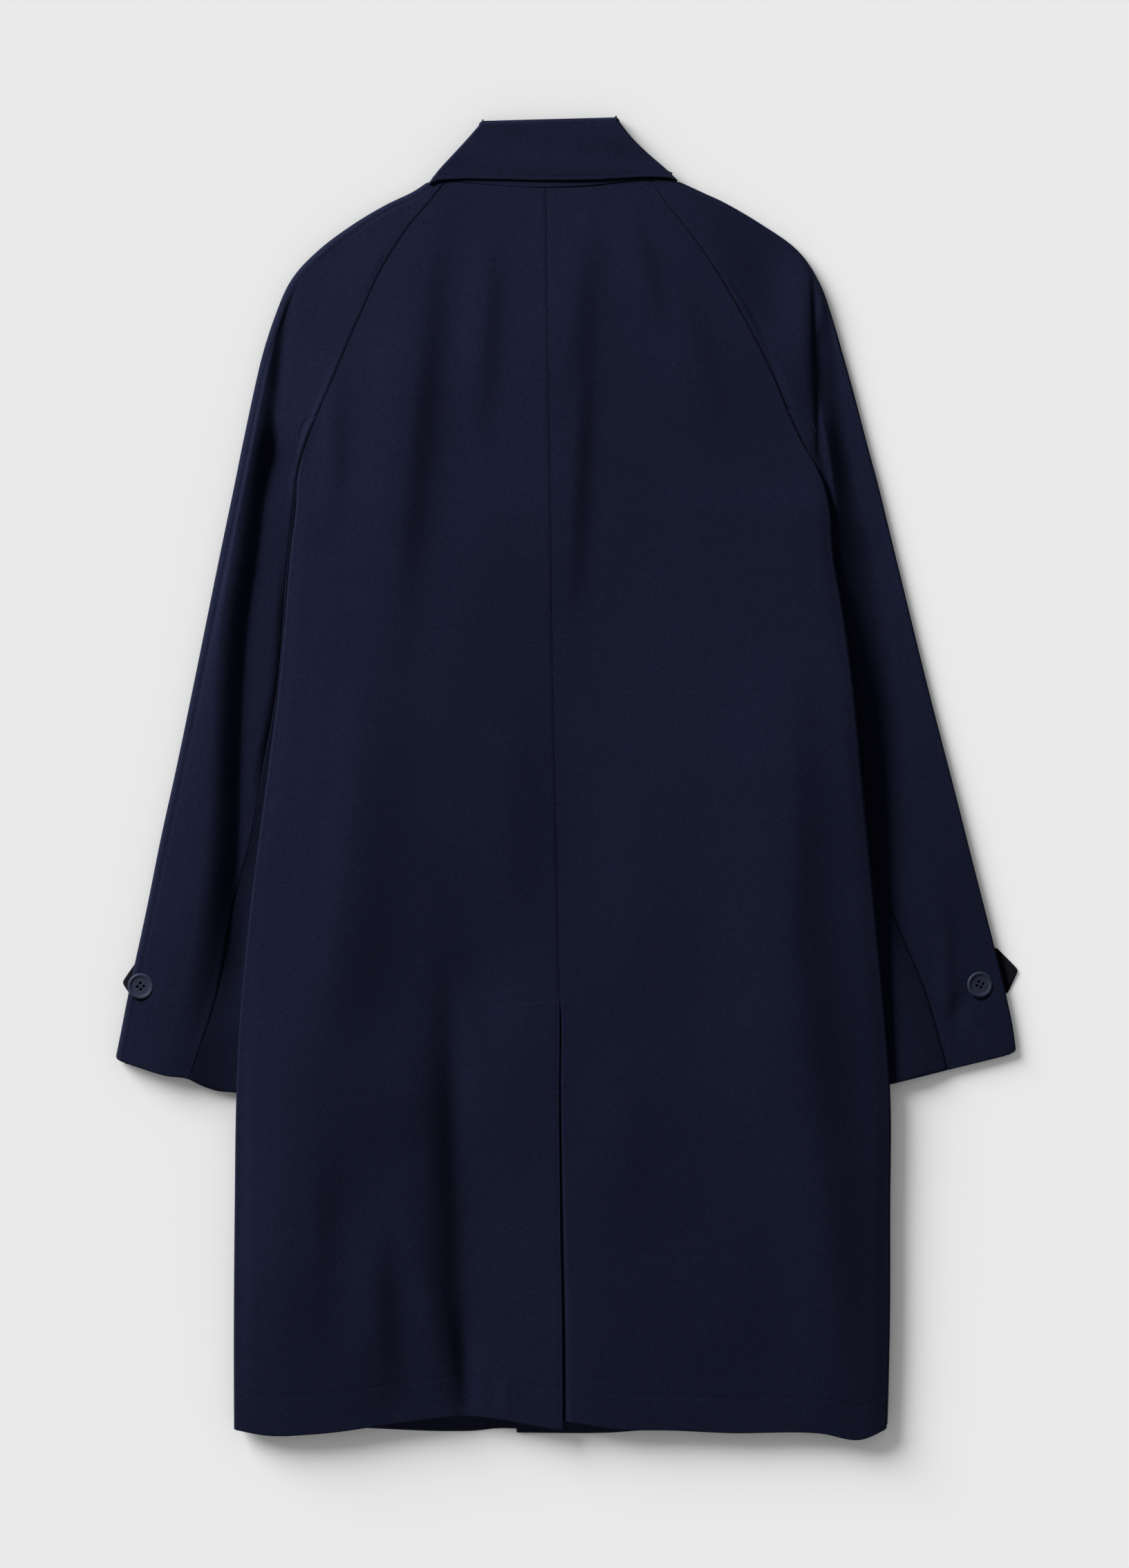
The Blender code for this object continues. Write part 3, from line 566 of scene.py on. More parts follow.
def stitches(name, cloth, paths, pitch=2.5, length=1.9, radius=0.2):
    """Rows of stitches along paths in plan, lying on the upper face of a piece of cloth."""
    mesh = cloth.data
    tree = BVHTree.FromPolygons([v.co for v in mesh.vertices], [p.vertices for p in mesh.polygons])
    middle = []
    along = []
    up = []
    for path in paths:
        path = np.array(path, float)
        run = np.concatenate([[0], np.cumsum(np.hypot(*np.diff(path, axis=0).T))])
        for at in np.arange(pitch / 2, run[-1], pitch):
            ends = [[np.interp(at + k * length / 2, run, part) * MM for part in path.T] for k in (-1, 1)]
            hits = [tree.ray_cast(Vector((x, y, 1)), DOWN) for x, y in ends]
            if all(hit[0] for hit in hits):
                middle.append((hits[0][0] + hits[1][0]) / 2 / MM)
                along.append(hits[1][0] - hits[0][0])
                up.append(hits[0][1] + hits[1][1])
    middle = np.array(middle)
    along = unit(np.array(along))
    across = unit(np.cross(np.array(up), along))
    up = np.cross(along, across)
    angle = np.arange(STITCH_SIDES) * 2 * math.pi / STITCH_SIDES
    reach = STITCH_ALONG * length / 2
    thick = STITCH_ROUND * radius
    rise = radius * STITCH_ARCH * (0.5 - STITCH_ALONG ** 2)
    ring_up = rise[:, None] + thick[:, None] * np.sin(angle)
    ring_across = thick[:, None] * np.cos(angle)
    points = middle[:, None, None] + along[:, None, None] * reach[:, None, None]
    points = points + up[:, None, None] * ring_up[..., None] + across[:, None, None] * ring_across[..., None]
    count = len(STITCH_ALONG) * STITCH_SIDES
    ring = np.arange(STITCH_SIDES)
    after = np.roll(ring, -1)
    sides = [
        np.stack([k + ring, k + after, k + STITCH_SIDES + after, k + STITCH_SIDES + ring], axis=1)
        for k in range(0, count - STITCH_SIDES, STITCH_SIDES)
    ]
    faces = []
    for first in range(0, len(middle) * count, count):
        faces += (np.concatenate(sides) + first).tolist()
        faces.append((first + ring)[::-1].tolist())
        faces.append((first + count - STITCH_SIDES + ring).tolist())
    made = bpy.data.meshes.new(name)
    made.from_pydata(points.reshape(-1, 3) * MM, [], faces)
    made.shade_smooth()
    return put(name, made, thread)


# Thread: navy polyester with a faint twist. The darker colour in the grooves of the twist is painted shade.
THREAD = (0.0078, 0.0098, 0.0260, 1)
THREAD_SHADED = (0.0055, 0.0070, 0.0190, 1)
PLY_PITCH = 0.0006


def sewing_thread(name):
    made, surface, shade = new_surface(name)
    place = shade.node("TexCoord", out=3)
    wave = 2 * math.pi / PLY_PITCH / math.sqrt(2)
    run = shade.node("VectorMath", {"operation": "DOT_PRODUCT"}, {0: place, 1: (wave, wave, 0)}, out=1)
    twist_shade = shade.math("SINE", run) * 0.5 + 0.5
    # Painted shade: the colour darkens from THREAD to THREAD_SHADED in the grooves between the plies of the
    # twist.
    mixed = {0: twist_shade, 6: THREAD_SHADED, 7: THREAD}
    shade.node("Mix", {"data_type": "RGBA"}, mixed, out=2).feed(surface, "Base Color")
    (0.65 + twist_shade * 0.15).feed(surface, "Roughness")
    surface.inputs["Specular IOR Level"].default_value = 0.1
    return made


HEM_ROW = {"left": (-8, -250), "right": (22, 242)}
HEM_ROW_POINTS = 60


def hem_row(side):
    """The line of stitches along the top of the hem's turn-up, in plan."""
    x = np.linspace(*HEM_ROW[side], HEM_ROW_POINTS)
    level = np.full(HEM_ROW_POINTS, float(HEM + HEM_TURN_UP[side]))
    return np.stack([x, back_y(side, x, level)], axis=1)


HEM_STITCH = {"pitch": 4.2, "length": 1.2, "radius": 0.12}
VENT_ROW_END = -82
VENT_ROW_ABOVE = 0.6
body_cloth = twill("body_twill")
thread = sewing_thread("navy_thread")
backs = {
    side: put(f"back_{side}_cloth", back(side), body_cloth, f"back_{side}") for side in SIGN
}
seam_y = np.linspace(NECK_TOP - 5, HEM + 4, 240)
seam_row = np.stack([BODY.at("centre", seam_y) - SEAM / 2 - TOPSTITCH, seam_y], axis=1)
vent_x = np.linspace(BODY.at("centre", VENT_TOP) - 3, VENT_ROW_END, 40)
vent_row = np.stack([vent_x, vent_top_line(vent_x) + VENT_ROW_ABOVE], axis=1)
back_rows = {
    "left": [
        stitches("centre_back_stitches", backs["left"], [seam_row]),
        stitches("vent_top_stitches", backs["left"], [vent_row]),
        stitches("hem_stitches_left", backs["left"], [hem_row("left")], **HEM_STITCH),
    ],
    "right": [
        stitches("hem_stitches_right", backs["right"], [hem_row("right")], **HEM_STITCH),
    ],
}

# Fronts
# Two halves of the same twill, face down on the floor. The left one laps over the right one at the middle,
# and both turn up round the side folds to meet the backs at the side seams.
FRONT_EDGE = {"left": 33, "right": -39}
OVERLAP_STEP = WALL + SEAM
OVERLAP_SLOPE = 16
SHELF = 60
SHELF_SLOPE = 45
FRONT_LOW = -498
FRONT_HEM = {
    "left": Sections(
        "x y",
        *((-264, -513.0), (-215, -513.5), (-160, -516.0), (-90, -518.5)),
        *((-74, -518.2), (-55, -516.2), (-40, -516.4), (33, -517.5)),
    ),
    "right": Sections(
        "x y",
        *((-39, -519.5), (35, -519.5), (70, -517.5), (125, -518.8)),
        *((165, -516.5), (200, -515.0), (254, -512.5)),
    ),
}
FRONT_HEM_FADE = 60
FRONT_NECK_GAP = 2.0
FRONT_DROP = 22.0
FRONT_DROP_WIDTH = 0.75
NECK_LIFT = 2.6
NECK_LIFT_FROM = 370
NECK_LIFT_FULL = 415
COLLAR_LEFT = (-110.2, -69.8)
COLLAR_RIGHT = (88.0, 42.2)
FRONT_ROW = 6.5
FRONT_COLUMNS = 44

# Hollows that the weight of the coat leaves in its face, as heights above the floor.
FRONT_FOLDS = (
    (-120, 300, -150, 20, 5, 14, 26, 2.2),
    (95, 320, 128, 60, -6, 24, 12, 2.0),
    (-70, 120, -110, -190, 8, 12, 22, 2.4),
    (120, -20, 96, -280, -5, 20, 12, 2.0),
    (-150, -220, -132, -470, 6, 16, 24, 2.4),
    (168, -250, 190, -480, 0, 22, 12, 2.2),
    (60, -300, 72, -490, 3, 12, 18, 1.8),
)


def neck_lift(y):
    """How far the front of the collar raises what lies on it."""
    return NECK_LIFT * smooth((y - NECK_LIFT_FROM) / (NECK_LIFT_FULL - NECK_LIFT_FROM))


def front_drop(across):
    """How far the front neck line lies below the back's, across a ring from -1 to 1."""
    return FRONT_DROP * np.cos(math.pi / 2 * np.clip(across / FRONT_DROP_WIDTH, -1, 1)) ** 2


def collar_across(x, t=0.0):
    """Place across the collar ring, -1 to 1, at t from its edge (0) to its fold (1)."""
    left = mix(*COLLAR_LEFT, t)
    right = mix(*COLLAR_RIGHT, t)
    return (x - (left + right) / 2) / ((right - left) / 2)


def front_under(side, x, y):
    """Height of the front's outer face, which is its underside here."""
    inside = np.abs(BODY.at(side, y) - x)
    shelf = lift(side, y) * (1 - smooth((inside - SHELF) / SHELF_SLOPE))
    step = 0
    if side == "right":
        step = OVERLAP_STEP * smooth((FRONT_EDGE["left"] + OVERLAP_SLOPE + SEAM - x) / OVERLAP_SLOPE)
    return neck_lift(y) + shelf + step + folds(FRONT_FOLDS, x, y)


def front(side):
    """Rows from the neck to the hem, columns from the front edge to the side seam."""
    line = FRONT_LOW + HEM_TURN_UP[side]
    marks = (NECK_TOP, NECK_TOP - 4, FRONT_LOW + 3, FRONT_LOW)
    y = rows_with_lines(FRONT_ROW, marks, (line, FRONT_LOW + 1))
    flat_x, x, up, inside, _ = body_panel(side, y, np.full_like(y, FRONT_EDGE[side]), FRONT_COLUMNS)
    z = front_under(side, flat_x, y) + up
    z = z + STITCH_DIP * bump(y - line, STITCH_WIDTH) + STITCH_DIP * bump(inside - TOPSTITCH, STITCH_WIDTH)
    neck = neck_line(x) - FRONT_NECK_GAP - NECK_TOP
    at_neck = smooth((y - NECK_TOP + NECK_FADE) / NECK_FADE)
    drop = front_drop(collar_across(x)) * smooth((y - NECK_LIFT_FROM) / (NECK_TOP - NECK_LIFT_FROM))
    at_hem = smooth((FRONT_LOW + FRONT_HEM_FADE - y) / FRONT_HEM_FADE)
    bent_y = y + neck * at_neck - drop + (FRONT_HEM[side].at("y", x) - FRONT_LOW) * at_hem
    free = np.zeros(x.shape)
    free[:, 0] = 1
    free[-1] = 1
    return shell(f"front_{side}_cloth", x, bent_y, z, turned=side == "left", free=free)


for side in SIGN:
    cloth = put(f"front_{side}_cloth", front(side), body_cloth, f"front_{side}")

# Top sleeves
# Raglan sleeves in the same twill, sewn to the backs from the neck to the underarm, then folded round their
# outer edge. Each has a short seam under the arm that runs into the raglan seam, and a stitched cuff turn-up.
SLEEVES = {
    "left": Sections(
        "seam_y outer_x outer_y seam_out tuck",
        (473, -111.8, 473.0, 0.0, 36.0),
        (455, -122.5, 466.0, 0.0, 36.0),
        (432, -143.3, 456.0, 0.0, 36.0),
        (405, -168.6, 441.0, 0.0, 36.0),
        (375, -195.3, 421.5, 0.0, 36.0),
        (340, -219.0, 396.0, 0.0, 36.0),
        (310, -231.6, 368.0, 0.0, 36.0),
        (288, -240.2, 342.0, 0.0, 36.0),
        (262, -247.6, 312.0, 0.3, 36.0),
        (237, -258.2, 262.0, 0.6, 36.0),
        (217, -263.0, 238.0, 2.0, 38.0),
        (175, -273.0, 190.0, 2.0, 38.0),
        (65, -298.2, 66.0, 1.5, 40.0),
        (10, -309.6, 11.0, 4.4, 45.0),
        (-52, -323.0, -50.0, 6.6, 50.0),
        (-98, -332.2, -96.0, 13.5, 62.0),
        (-180, -349.6, -178.0, 21.0, 76.0),
        (-239, -358.6, -224.4, 37.0, 95.0),
    ),
    "right": Sections(
        "seam_y outer_x outer_y seam_out tuck",
        (473, 91.8, 473.2, 0.0, 36.0),
        (455, 108.6, 465.5, 0.0, 36.0),
        (432, 126.8, 457.0, 0.0, 36.0),
        (405, 154.0, 441.0, 0.0, 36.0),
        (375, 182.4, 421.0, 0.0, 36.0),
        (340, 201.6, 393.0, 0.0, 36.0),
        (310, 212.0, 364.0, 0.0, 36.0),
        (288, 219.0, 340.0, 0.0, 36.0),
        (262, 228.0, 308.0, 0.2, 36.0),
        (237, 240.6, 260.0, -0.8, 36.0),
        (217, 246.6, 238.0, -0.5, 36.0),
        (175, 258.7, 189.0, 0.0, 36.0),
        (65, 289.0, 66.0, 0.0, 38.0),
        (-20, 311.0, -19.0, 0.0, 44.0),
        (-66, 322.6, -65.0, 1.0, 46.0),
        (-113, 334.4, -111.0, 16.0, 60.0),
        (-176, 349.9, -174.0, 36.0, 80.0),
        (-200, 354.4, -195.0, 41.0, 86.0),
        (-231, 357.6, -217.6, 47.0, 94.0),
    ),
}
# Across a sleeve its upper face steps from an inner level by the seam to a crest, then falls a little to the
# outer fold: where the step starts and ends, and the three levels.
SLEEVE_FORM = {
    "left": Sections(
        "y start_x end_x inner crest outer",
        (475, -112, -122, 6.0, 10.5, 10.5),
        (440, -178, -188, 6.0, 12.5, 12.0),
        (400, -213, -223, 6.0, 11.8, 11.0),
        (344, -226, -237, 6.0, 13.0, 11.5),
        (289, -226, -246, 6.0, 14.5, 12.0),
        (234, -238, -257, 6.0, 15.0, 12.5),
        (179, -245, -265, 5.5, 15.5, 12.5),
        (124, -253, -274, 5.5, 16.0, 12.5),
        (69, -257, -279, 5.0, 16.5, 12.5),
        (14, -259, -282, 4.5, 17.0, 12.5),
        (-41, -260, -285, 4.5, 17.0, 12.5),
        (-96, -263, -291, 4.0, 17.5, 12.5),
        (-151, -271, -300, 8.0, 17.0, 12.5),
        (-206, -287, -312, 12.5, 15.0, 12.0),
        (-240, -300, -325, 13.5, 15.0, 12.0),
    ),
    "right": Sections(
        "y start_x end_x inner crest outer",
        (475, 100, 106, 13.0, 10.0, 10.0),
        (440, 160, 168, 13.0, 9.0, 9.0),
        (400, 198, 207, 13.0, 8.5, 8.5),
        (344, 198, 213, 13.0, 5.5, 6.5),
        (291, 202, 220, 13.0, 5.0, 6.0),
        (252, 209, 227, 13.0, 4.5, 6.0),
        (225, 212, 232, 12.0, 4.5, 6.0),
        (186, 216, 242, 11.5, 4.0, 6.0),
        (146, 222, 248, 10.5, 4.0, 6.0),
        (107, 228, 254, 10.0, 4.0, 6.0),
        (67, 234, 258, 9.5, 4.0, 6.0),
        (27, 238, 260, 8.5, 5.5, 6.5),
        (-19, 241, 260, 8.0, 7.5, 7.0),
        (-100, 252, 275, 8.5, 8.5, 7.0),
        (-160, 280, 300, 7.0, 7.0, 6.5),
        (-235, 302, 320, 6.5, 6.5, 6.0),
    ),
}
SLEEVE_FOLDS = {
    "left": (
        (-214, 470, -233, 265, 2, 7, 5, -1.2),
        (-220, 400, -238, 205, 0, 8, 26, -4.0),
    ),
    "right": (
        (158, 455, 172, 320, 0, 30, 24, -3.0),
        (184, 425, 191, 262, 0, 22, 7, 2.4),
        (194.5, 465, 202, 200, 0, 2.4, 7, -2.6),
        (206, 320, 220, 150, 0, 4, 5, 0.4),
        (322, -160, 300, -206, 0, 7, 9, -1.2),
        (296, -60, 304, -250, 2, 9, 6, 0.9),
    ),
}
UNDERARM_SEAM = {
    "left": ((-198.5, 288), (-204.5, 285.2), (-208.8, 281.6), (-210.8, 276.7), (-211.2, 270)),
    "right": ((175.2, 293.5), (183, 289.5), (190.6, 285.4), (194.3, 281), (196.5, 275.5)),
}
TUCKED_BY = 239
SLEEVE_EDGE = 4
YOKE_FALL = 4.5
YOKE_FALL_END = 215
YOKE_FALL_FULL = 275
YOKE_FALL_RUN = {"left": 75, "right": 44}
YOKE_FALL_TOP = 75
SHARED_FADE = (4, 34)
STEP_SHAPE = 0.7
CREST_SHAPE = 1.5
CREASE_START = 2
CREASE_RISE = 5
TUCK_DIP = 2.2
TUCK_DIP_WIDTH = 4
TUCK_DIP_ENDS = (180, -30)
TUCK_DIP_FADE = 60
FOLD_DEPTH = {"left": 5.0, "right": 1.4}
UNDERARM_ROWS = (297, 212)
CUFF_ROWS = (38, 18, 6, 0)
SLEEVE_STEPS = (3.2, 1.1, 3.2, 0.9, 2.2, 0.7)
UPPER_COLUMNS = 84
ARC_COLUMNS = 16
LOWER_COLUMNS = 18
CUFF_TURN_UP = 26
CUFF_CORNER = 4
CUFF_WAVE = {
    "left": Sections(
        "x y",
        *((-358, 1.0), (-340, 0.0), (-318, -1.0), (-299, 0.5), (-290, -2.0), (-278, -3.3), (-262, -1.0)),
    ),
    "right": Sections("x y", (255, 0.0), (358, 0.0)),
}
CUFF_WAVE_FADE = 34
NECK_TUCK = 3.5
BUTTON_CENTRE = {"left": (-338.0, -165.0), "right": (328.4, -163.9)}
BUTTON_DENT = 1.2
BUTTON_DENT_WIDTH = 9
CUFF_STITCH = {"pitch": 3.4, "length": 1.2, "radius": 0.16}
CUFF_STITCH_ENDS = (4, 9)
TAB_TIP = {"left": (-352.0, -162.3), "right": (357.8, -152.9)}
TAB_LENGTH = 58
TAB_WALL = 1.8
TAB_LIFT = TAB_WALL + SEAM
TAB_SLOPE = 8
TAB_BESIDE = (20, 32)
SLEEVE_GRAIN = {"left": math.radians(-11), "right": math.radians(11)}


def seam_top(side, y):
    """Height of the sleeve at its inner end: level with the back, then down beneath the side fold."""
    under = smooth((TURN_START - y) / (TURN_START - TUCKED_BY))
    return mix(BODY.at(f"{side}_top", y), SLEEVE_FORM[side].at("inner", y), under)


def outer_top(side, y):
    """Height of the outer fold on the section that starts at y."""
    return SLEEVE_FORM[side].at("outer", SLEEVES[side].at("outer_y", y))


def tab_lift(side, outside, y):
    """How far the cuff tab raises the sleeve that lies on it, by distance from the sleeve's outer edge."""
    near, far = TAB_BESIDE
    raised = smooth((far - np.abs(y - TAB_TIP[side][1])) / (far - near))
    return TAB_LIFT * raised * smooth((TAB_LENGTH + TAB_SLOPE - outside) / TAB_SLOPE)


def half_tube(reach, depth, upper, arc, lower):
    """Distance from the seam and the angle round the fold for columns out to the fold, round it and back.
    Depth is how far the fold reaches back from its outermost point."""
    first = SEAM / 2 + SEAM_STEPS + 0 * reach
    out = mix(SEAM / 2 + SEAM_STEPS[-1], reach - depth, np.linspace(0, 1, upper + 1)[1:])
    angle = np.linspace(0, math.pi, arc + 1)[1:-1]
    back_in = mix(CLOSED_SEAM, reach - depth, np.linspace(1, 0, lower + 1))
    run = np.concatenate([first, out, reach - depth + depth * np.sin(angle), back_in], axis=1)
    angles = np.concatenate([np.zeros(len(SEAM_STEPS) + upper), angle, np.full(lower + 1, math.pi)])
    return run, np.broadcast_to(angles, run.shape)


def sleeve_line(side, y):
    """Plan of the sleeve's section at y: the seam point, the unit step outwards, and the width."""
    table = SLEEVES[side]
    seam_x = BODY.at(side, y) + SIGN[side] * table.at("seam_out", y)
    out_x = table.at("outer_x", y) - seam_x
    out_y = table.at("outer_y", y) - y
    width = np.hypot(out_x, out_y)
    return seam_x, out_x / width, out_y / width, width


def edge_depth(side, y, radius):
    """Depth of the sleeve's outer fold along a section that may cross it at a slant."""
    table = SLEEVES[side]
    edge_x = table.at("outer_x", y - 1) - table.at("outer_x", y + 1)
    edge_y = table.at("outer_y", y - 1) - table.at("outer_y", y + 1)
    _, out_x, out_y, width = sleeve_line(side, y)
    square = np.abs(edge_x * out_y - edge_y * out_x) / np.hypot(edge_x, edge_y)
    return np.minimum(radius / square, width / 2)


def distance_to(line, x, y):
    """Distance in plan from a line of points."""
    nearest = np.full(np.broadcast(x, y).shape, np.inf)
    for (x0, y0), (x1, y1) in zip(line, line[1:]):
        run_x = x1 - x0
        run_y = y1 - y0
        along = np.clip(((x - x0) * run_x + (y - y0) * run_y) / (run_x ** 2 + run_y ** 2), 0, 1)
        nearest = np.minimum(nearest, np.hypot(x - x0 - along * run_x, y - y0 - along * run_y))
    return nearest


def cuff_line(side):
    """The two ends of the cuff's edge in plan, at the seam and at the outer fold."""
    cuff = SLEEVES[side].stations[0]
    seam_x, out_x, out_y, width = sleeve_line(side, cuff)
    return np.array(((seam_x, cuff), (seam_x + out_x * width, cuff + out_y * width)))


def above_cuff(side, x, y):
    """Distance in plan from the cuff's edge."""
    (x0, y0), (x1, y1) = cuff_line(side)
    return np.abs((x - x0) * (y1 - y0) - (y - y0) * (x1 - x0)) / math.hypot(x1 - x0, y1 - y0)


def top_sleeve_height(side, x, y_at, y, out, reach, depth):
    """Height of the top sleeve's upper face at a distance out from its seam."""
    form = SLEEVE_FORM[side]
    _, out_x, _, _ = sleeve_line(side, y)
    start = form.at("start_x", y_at)
    end = form.at("end_x", y_at)
    to_fold = reach - depth - out
    fold_x = x + to_fold * out_x
    step = np.clip((x - start) / (end - start), 0, 1) ** STEP_SHAPE
    past = np.clip(out_x * (x - end) / np.maximum(out_x * (fold_x - end), 1), 0, 1)
    fall = YOKE_FALL * smooth((y - YOKE_FALL_END) / (YOKE_FALL_FULL - YOKE_FALL_END))
    fall = fall * smooth((NECK_TOP - y) / YOKE_FALL_TOP)
    beside = np.abs(x - BODY.at(side, y_at))
    inner = seam_top(side, y) - fall * smooth(beside / YOKE_FALL_RUN[side])
    level = mix(inner, form.at("crest", y_at), smooth(step))
    level = level - (form.at("crest", y_at) - form.at("outer", y_at)) * past ** CREST_SHAPE
    near_fold = smooth((out - reach + depth + SLEEVE_EDGE) / SLEEVE_EDGE)
    level = mix(level, outer_top(side, y), near_fold)
    away = smooth((out - CREASE_START) / CREASE_RISE) * (1 - near_fold)
    crease = folds(SLEEVE_FOLDS[side], x, y_at) + ripple(x, y_at)
    shared = folds(BACK_FOLDS, x, y_at) * yoke(y) * smooth(to_fold / np.clip(reach - depth, *SHARED_FADE))
    seamed = bump(distance_to(UNDERARM_SEAM[side], x, y_at), SEAM_WIDTH)
    tucked = 0
    if side == "left":
        seamed = seamed + bump(out - SEAM / 2, SEAM_WIDTH)
        top, low = TUCK_DIP_ENDS
        between = smooth((top - y) / TUCK_DIP_FADE) * smooth((y - low) / TUCK_DIP_FADE)
        tucked = TUCK_DIP * bump(out, TUCK_DIP_WIDTH) * between
    stitched = STITCH_DIP * bump(above_cuff(side, x, y_at) - CUFF_TURN_UP, STITCH_WIDTH)
    button_x, button_y = BUTTON_CENTRE[side]
    pressed = BUTTON_DENT * bump(np.hypot(x - button_x, y_at - button_y), BUTTON_DENT_WIDTH)
    return level + crease * away + shared - SEAM_DIP * seamed - stitched - pressed - tucked


def cuff_drop(side, x, y):
    """How far the cuff's edge waves down below a straight line."""
    cuff = SLEEVES[side].stations[0]
    return CUFF_WAVE[side].at("y", x) * smooth((cuff + CUFF_WAVE_FADE - y) / CUFF_WAVE_FADE)


def sleeve_rows(cuff):
    """Rows from the neck to the cuff, close together at the underarm and at the cuff's stitches and edge."""
    marks = (NECK_TOP, *UNDERARM_ROWS, *(cuff + up for up in CUFF_ROWS))
    parts = [spaced(step, start, end)[1:] for step, start, end in zip(SLEEVE_STEPS, marks, marks[1:])]
    return np.concatenate([[NECK_TOP], *parts])[:, None]


def top_sleeve(side):
    """Columns from the raglan seam to the outer fold, round it, and back underneath."""
    cuff = SLEEVES[side].stations[0]
    y = sleeve_rows(cuff)
    seam_x, out_x, out_y, width = sleeve_line(side, y)
    rounding = np.clip(1 - (y - cuff) / CUFF_CORNER, 0, 1)
    width = width - CUFF_CORNER * (1 - np.sqrt(1 - rounding ** 2))
    floor = neck_lift(y) + tab_lift(side, 0, y)
    radius = (outer_top(side, y) - floor) / 2
    depth = edge_depth(side, y, np.minimum(radius, FOLD_DEPTH[side]))
    run, angle = half_tube(width, depth, UPPER_COLUMNS, ARC_COLUMNS, LOWER_COLUMNS)
    x = seam_x + out_x * run
    y_at = y + out_y * run
    upper = top_sleeve_height(side, x, y_at, y, run, width, depth)
    lower = neck_lift(y) + tab_lift(side, width - run, y)
    rounded = floor + radius * (1 + np.cos(angle))
    z = np.where(angle == 0, upper, np.where(angle == math.pi, lower, rounded))
    free = np.zeros(x.shape)
    free[-1] = 1
    at_neck = smooth((y - NECK_TOP + NECK_FADE) / NECK_FADE) * (1 - run / width)
    y_at = y_at + NECK_TUCK * at_neck + cuff_drop(side, x, y)
    return shell(f"top_sleeve_{side}_cloth", x, y_at, z, turned=side == "right", free=free)


sleeve_cloth = {side: twill(f"sleeve_{side}_twill", SLEEVE_GRAIN[side]) for side in SIGN}
for side in SIGN:
    name = f"top_sleeve_{side}"
    cloth = put(f"{name}_cloth", top_sleeve(side), sleeve_cloth[side], name)
    ends = cuff_line(side)
    across = (ends[1] - ends[0]) / np.linalg.norm(ends[1] - ends[0])
    up = np.array((-across[1], across[0])) * SIGN[side]
    start, end = CUFF_STITCH_ENDS
    row = np.array((ends[0] + across * start, ends[1] - across * end)) + up * CUFF_TURN_UP
    sewn = stitches(f"cuff_stitches_{side}", cloth, [row], **CUFF_STITCH)

# Under sleeves
# The other part of each sleeve, sewn to the top sleeve by two seams that run from the underarm to the cuff.
# It lies tucked beneath the side fold, so only a strip of it shows beside the body.
UNDERARM = 250
TUCK_GAP = 1.0
UNDER_DROP = 5.5
UNDER_LOW = 2.5
UNDER_RUN = (14, 40)
UNDER_RUN_FROM = -120
UNDER_RUN_FADE = 100
UNDER_ROW = 3
UNDER_COLUMNS = (26, 12, 12)


def under_sleeve(side):
    """Columns from the sleeve's seam in beneath the side fold, round a fold, and back underneath."""
    cuff = SLEEVES[side].stations[0]
    y = spaced(UNDER_ROW, UNDERARM, cuff + UNDER_ROW, cuff)[:, None]
    seam_x, out_x, out_y, _ = sleeve_line(side, y)
    top = seam_top(side, y)
    low = lift(side, y) - TUCK_GAP
    if side == "left":
        low = np.clip(top - UNDER_DROP, UNDER_LOW, low)
    tuck = SLEEVES[side].at("tuck", y)
    run, angle = half_tube(tuck, low / 2, *UNDER_COLUMNS)
    x = seam_x - out_x * run
    y_at = y - out_y * run
    fall_run = mix(*UNDER_RUN, smooth((UNDER_RUN_FROM - y) / UNDER_RUN_FADE))
    upper = mix(top, low, np.sin(math.pi / 2 * np.clip(run / fall_run, 0, 1)))
    if side == "right":
        upper = upper - SEAM_DIP * bump(run - SEAM / 2, SEAM_WIDTH)
    z = np.where(angle == 0, upper, low / 2 * (1 + np.cos(angle)))
    free = np.zeros(x.shape)
    free[-1] = 1
    y_at = y_at + cuff_drop(side, x, y)
    return shell(f"under_sleeve_{side}_cloth", x, y_at, z, turned=side == "left", free=free)


for side in SIGN:
    name = f"under_sleeve_{side}"
    cloth = put(f"{name}_cloth", under_sleeve(side), sleeve_cloth[side], name)

# Collar stand
# A band of doubled twill sewn to the neck line all round. It stands up inside the fall, and a strip of it
# shows between the fall's edge and the neck seam.
COLLAR_TOP = 12.6
COLLAR_INSET = WALL + 0.2
COLLAR_SIDES = 2.2
COLLAR_HOLLOW = {"left": 1.0, "right": 4.0}
COLLAR_DEPTH = 2.6
COLLAR_EDGE = Sections(
    "x y",
    *((-110, 472.3), (-101, 475.3), (-90, 476.3), (-55, 476.1), (-17, 475.3), (25, 475.9)),
    *((50, 477.4), (68, 478.0), (80, 477.4), (88, 475.6)),
)
COLLAR_FOLD_Y = 524.1
COLLAR_TILT = 0.027
STAND_SHORT = 5.0
STAND_ROWS = 26
FRONT_GAP = 6.0
RING_SIDE_POINTS = 15
RING_BACK_POINTS = 90
RING_FRONT_POINTS = 26


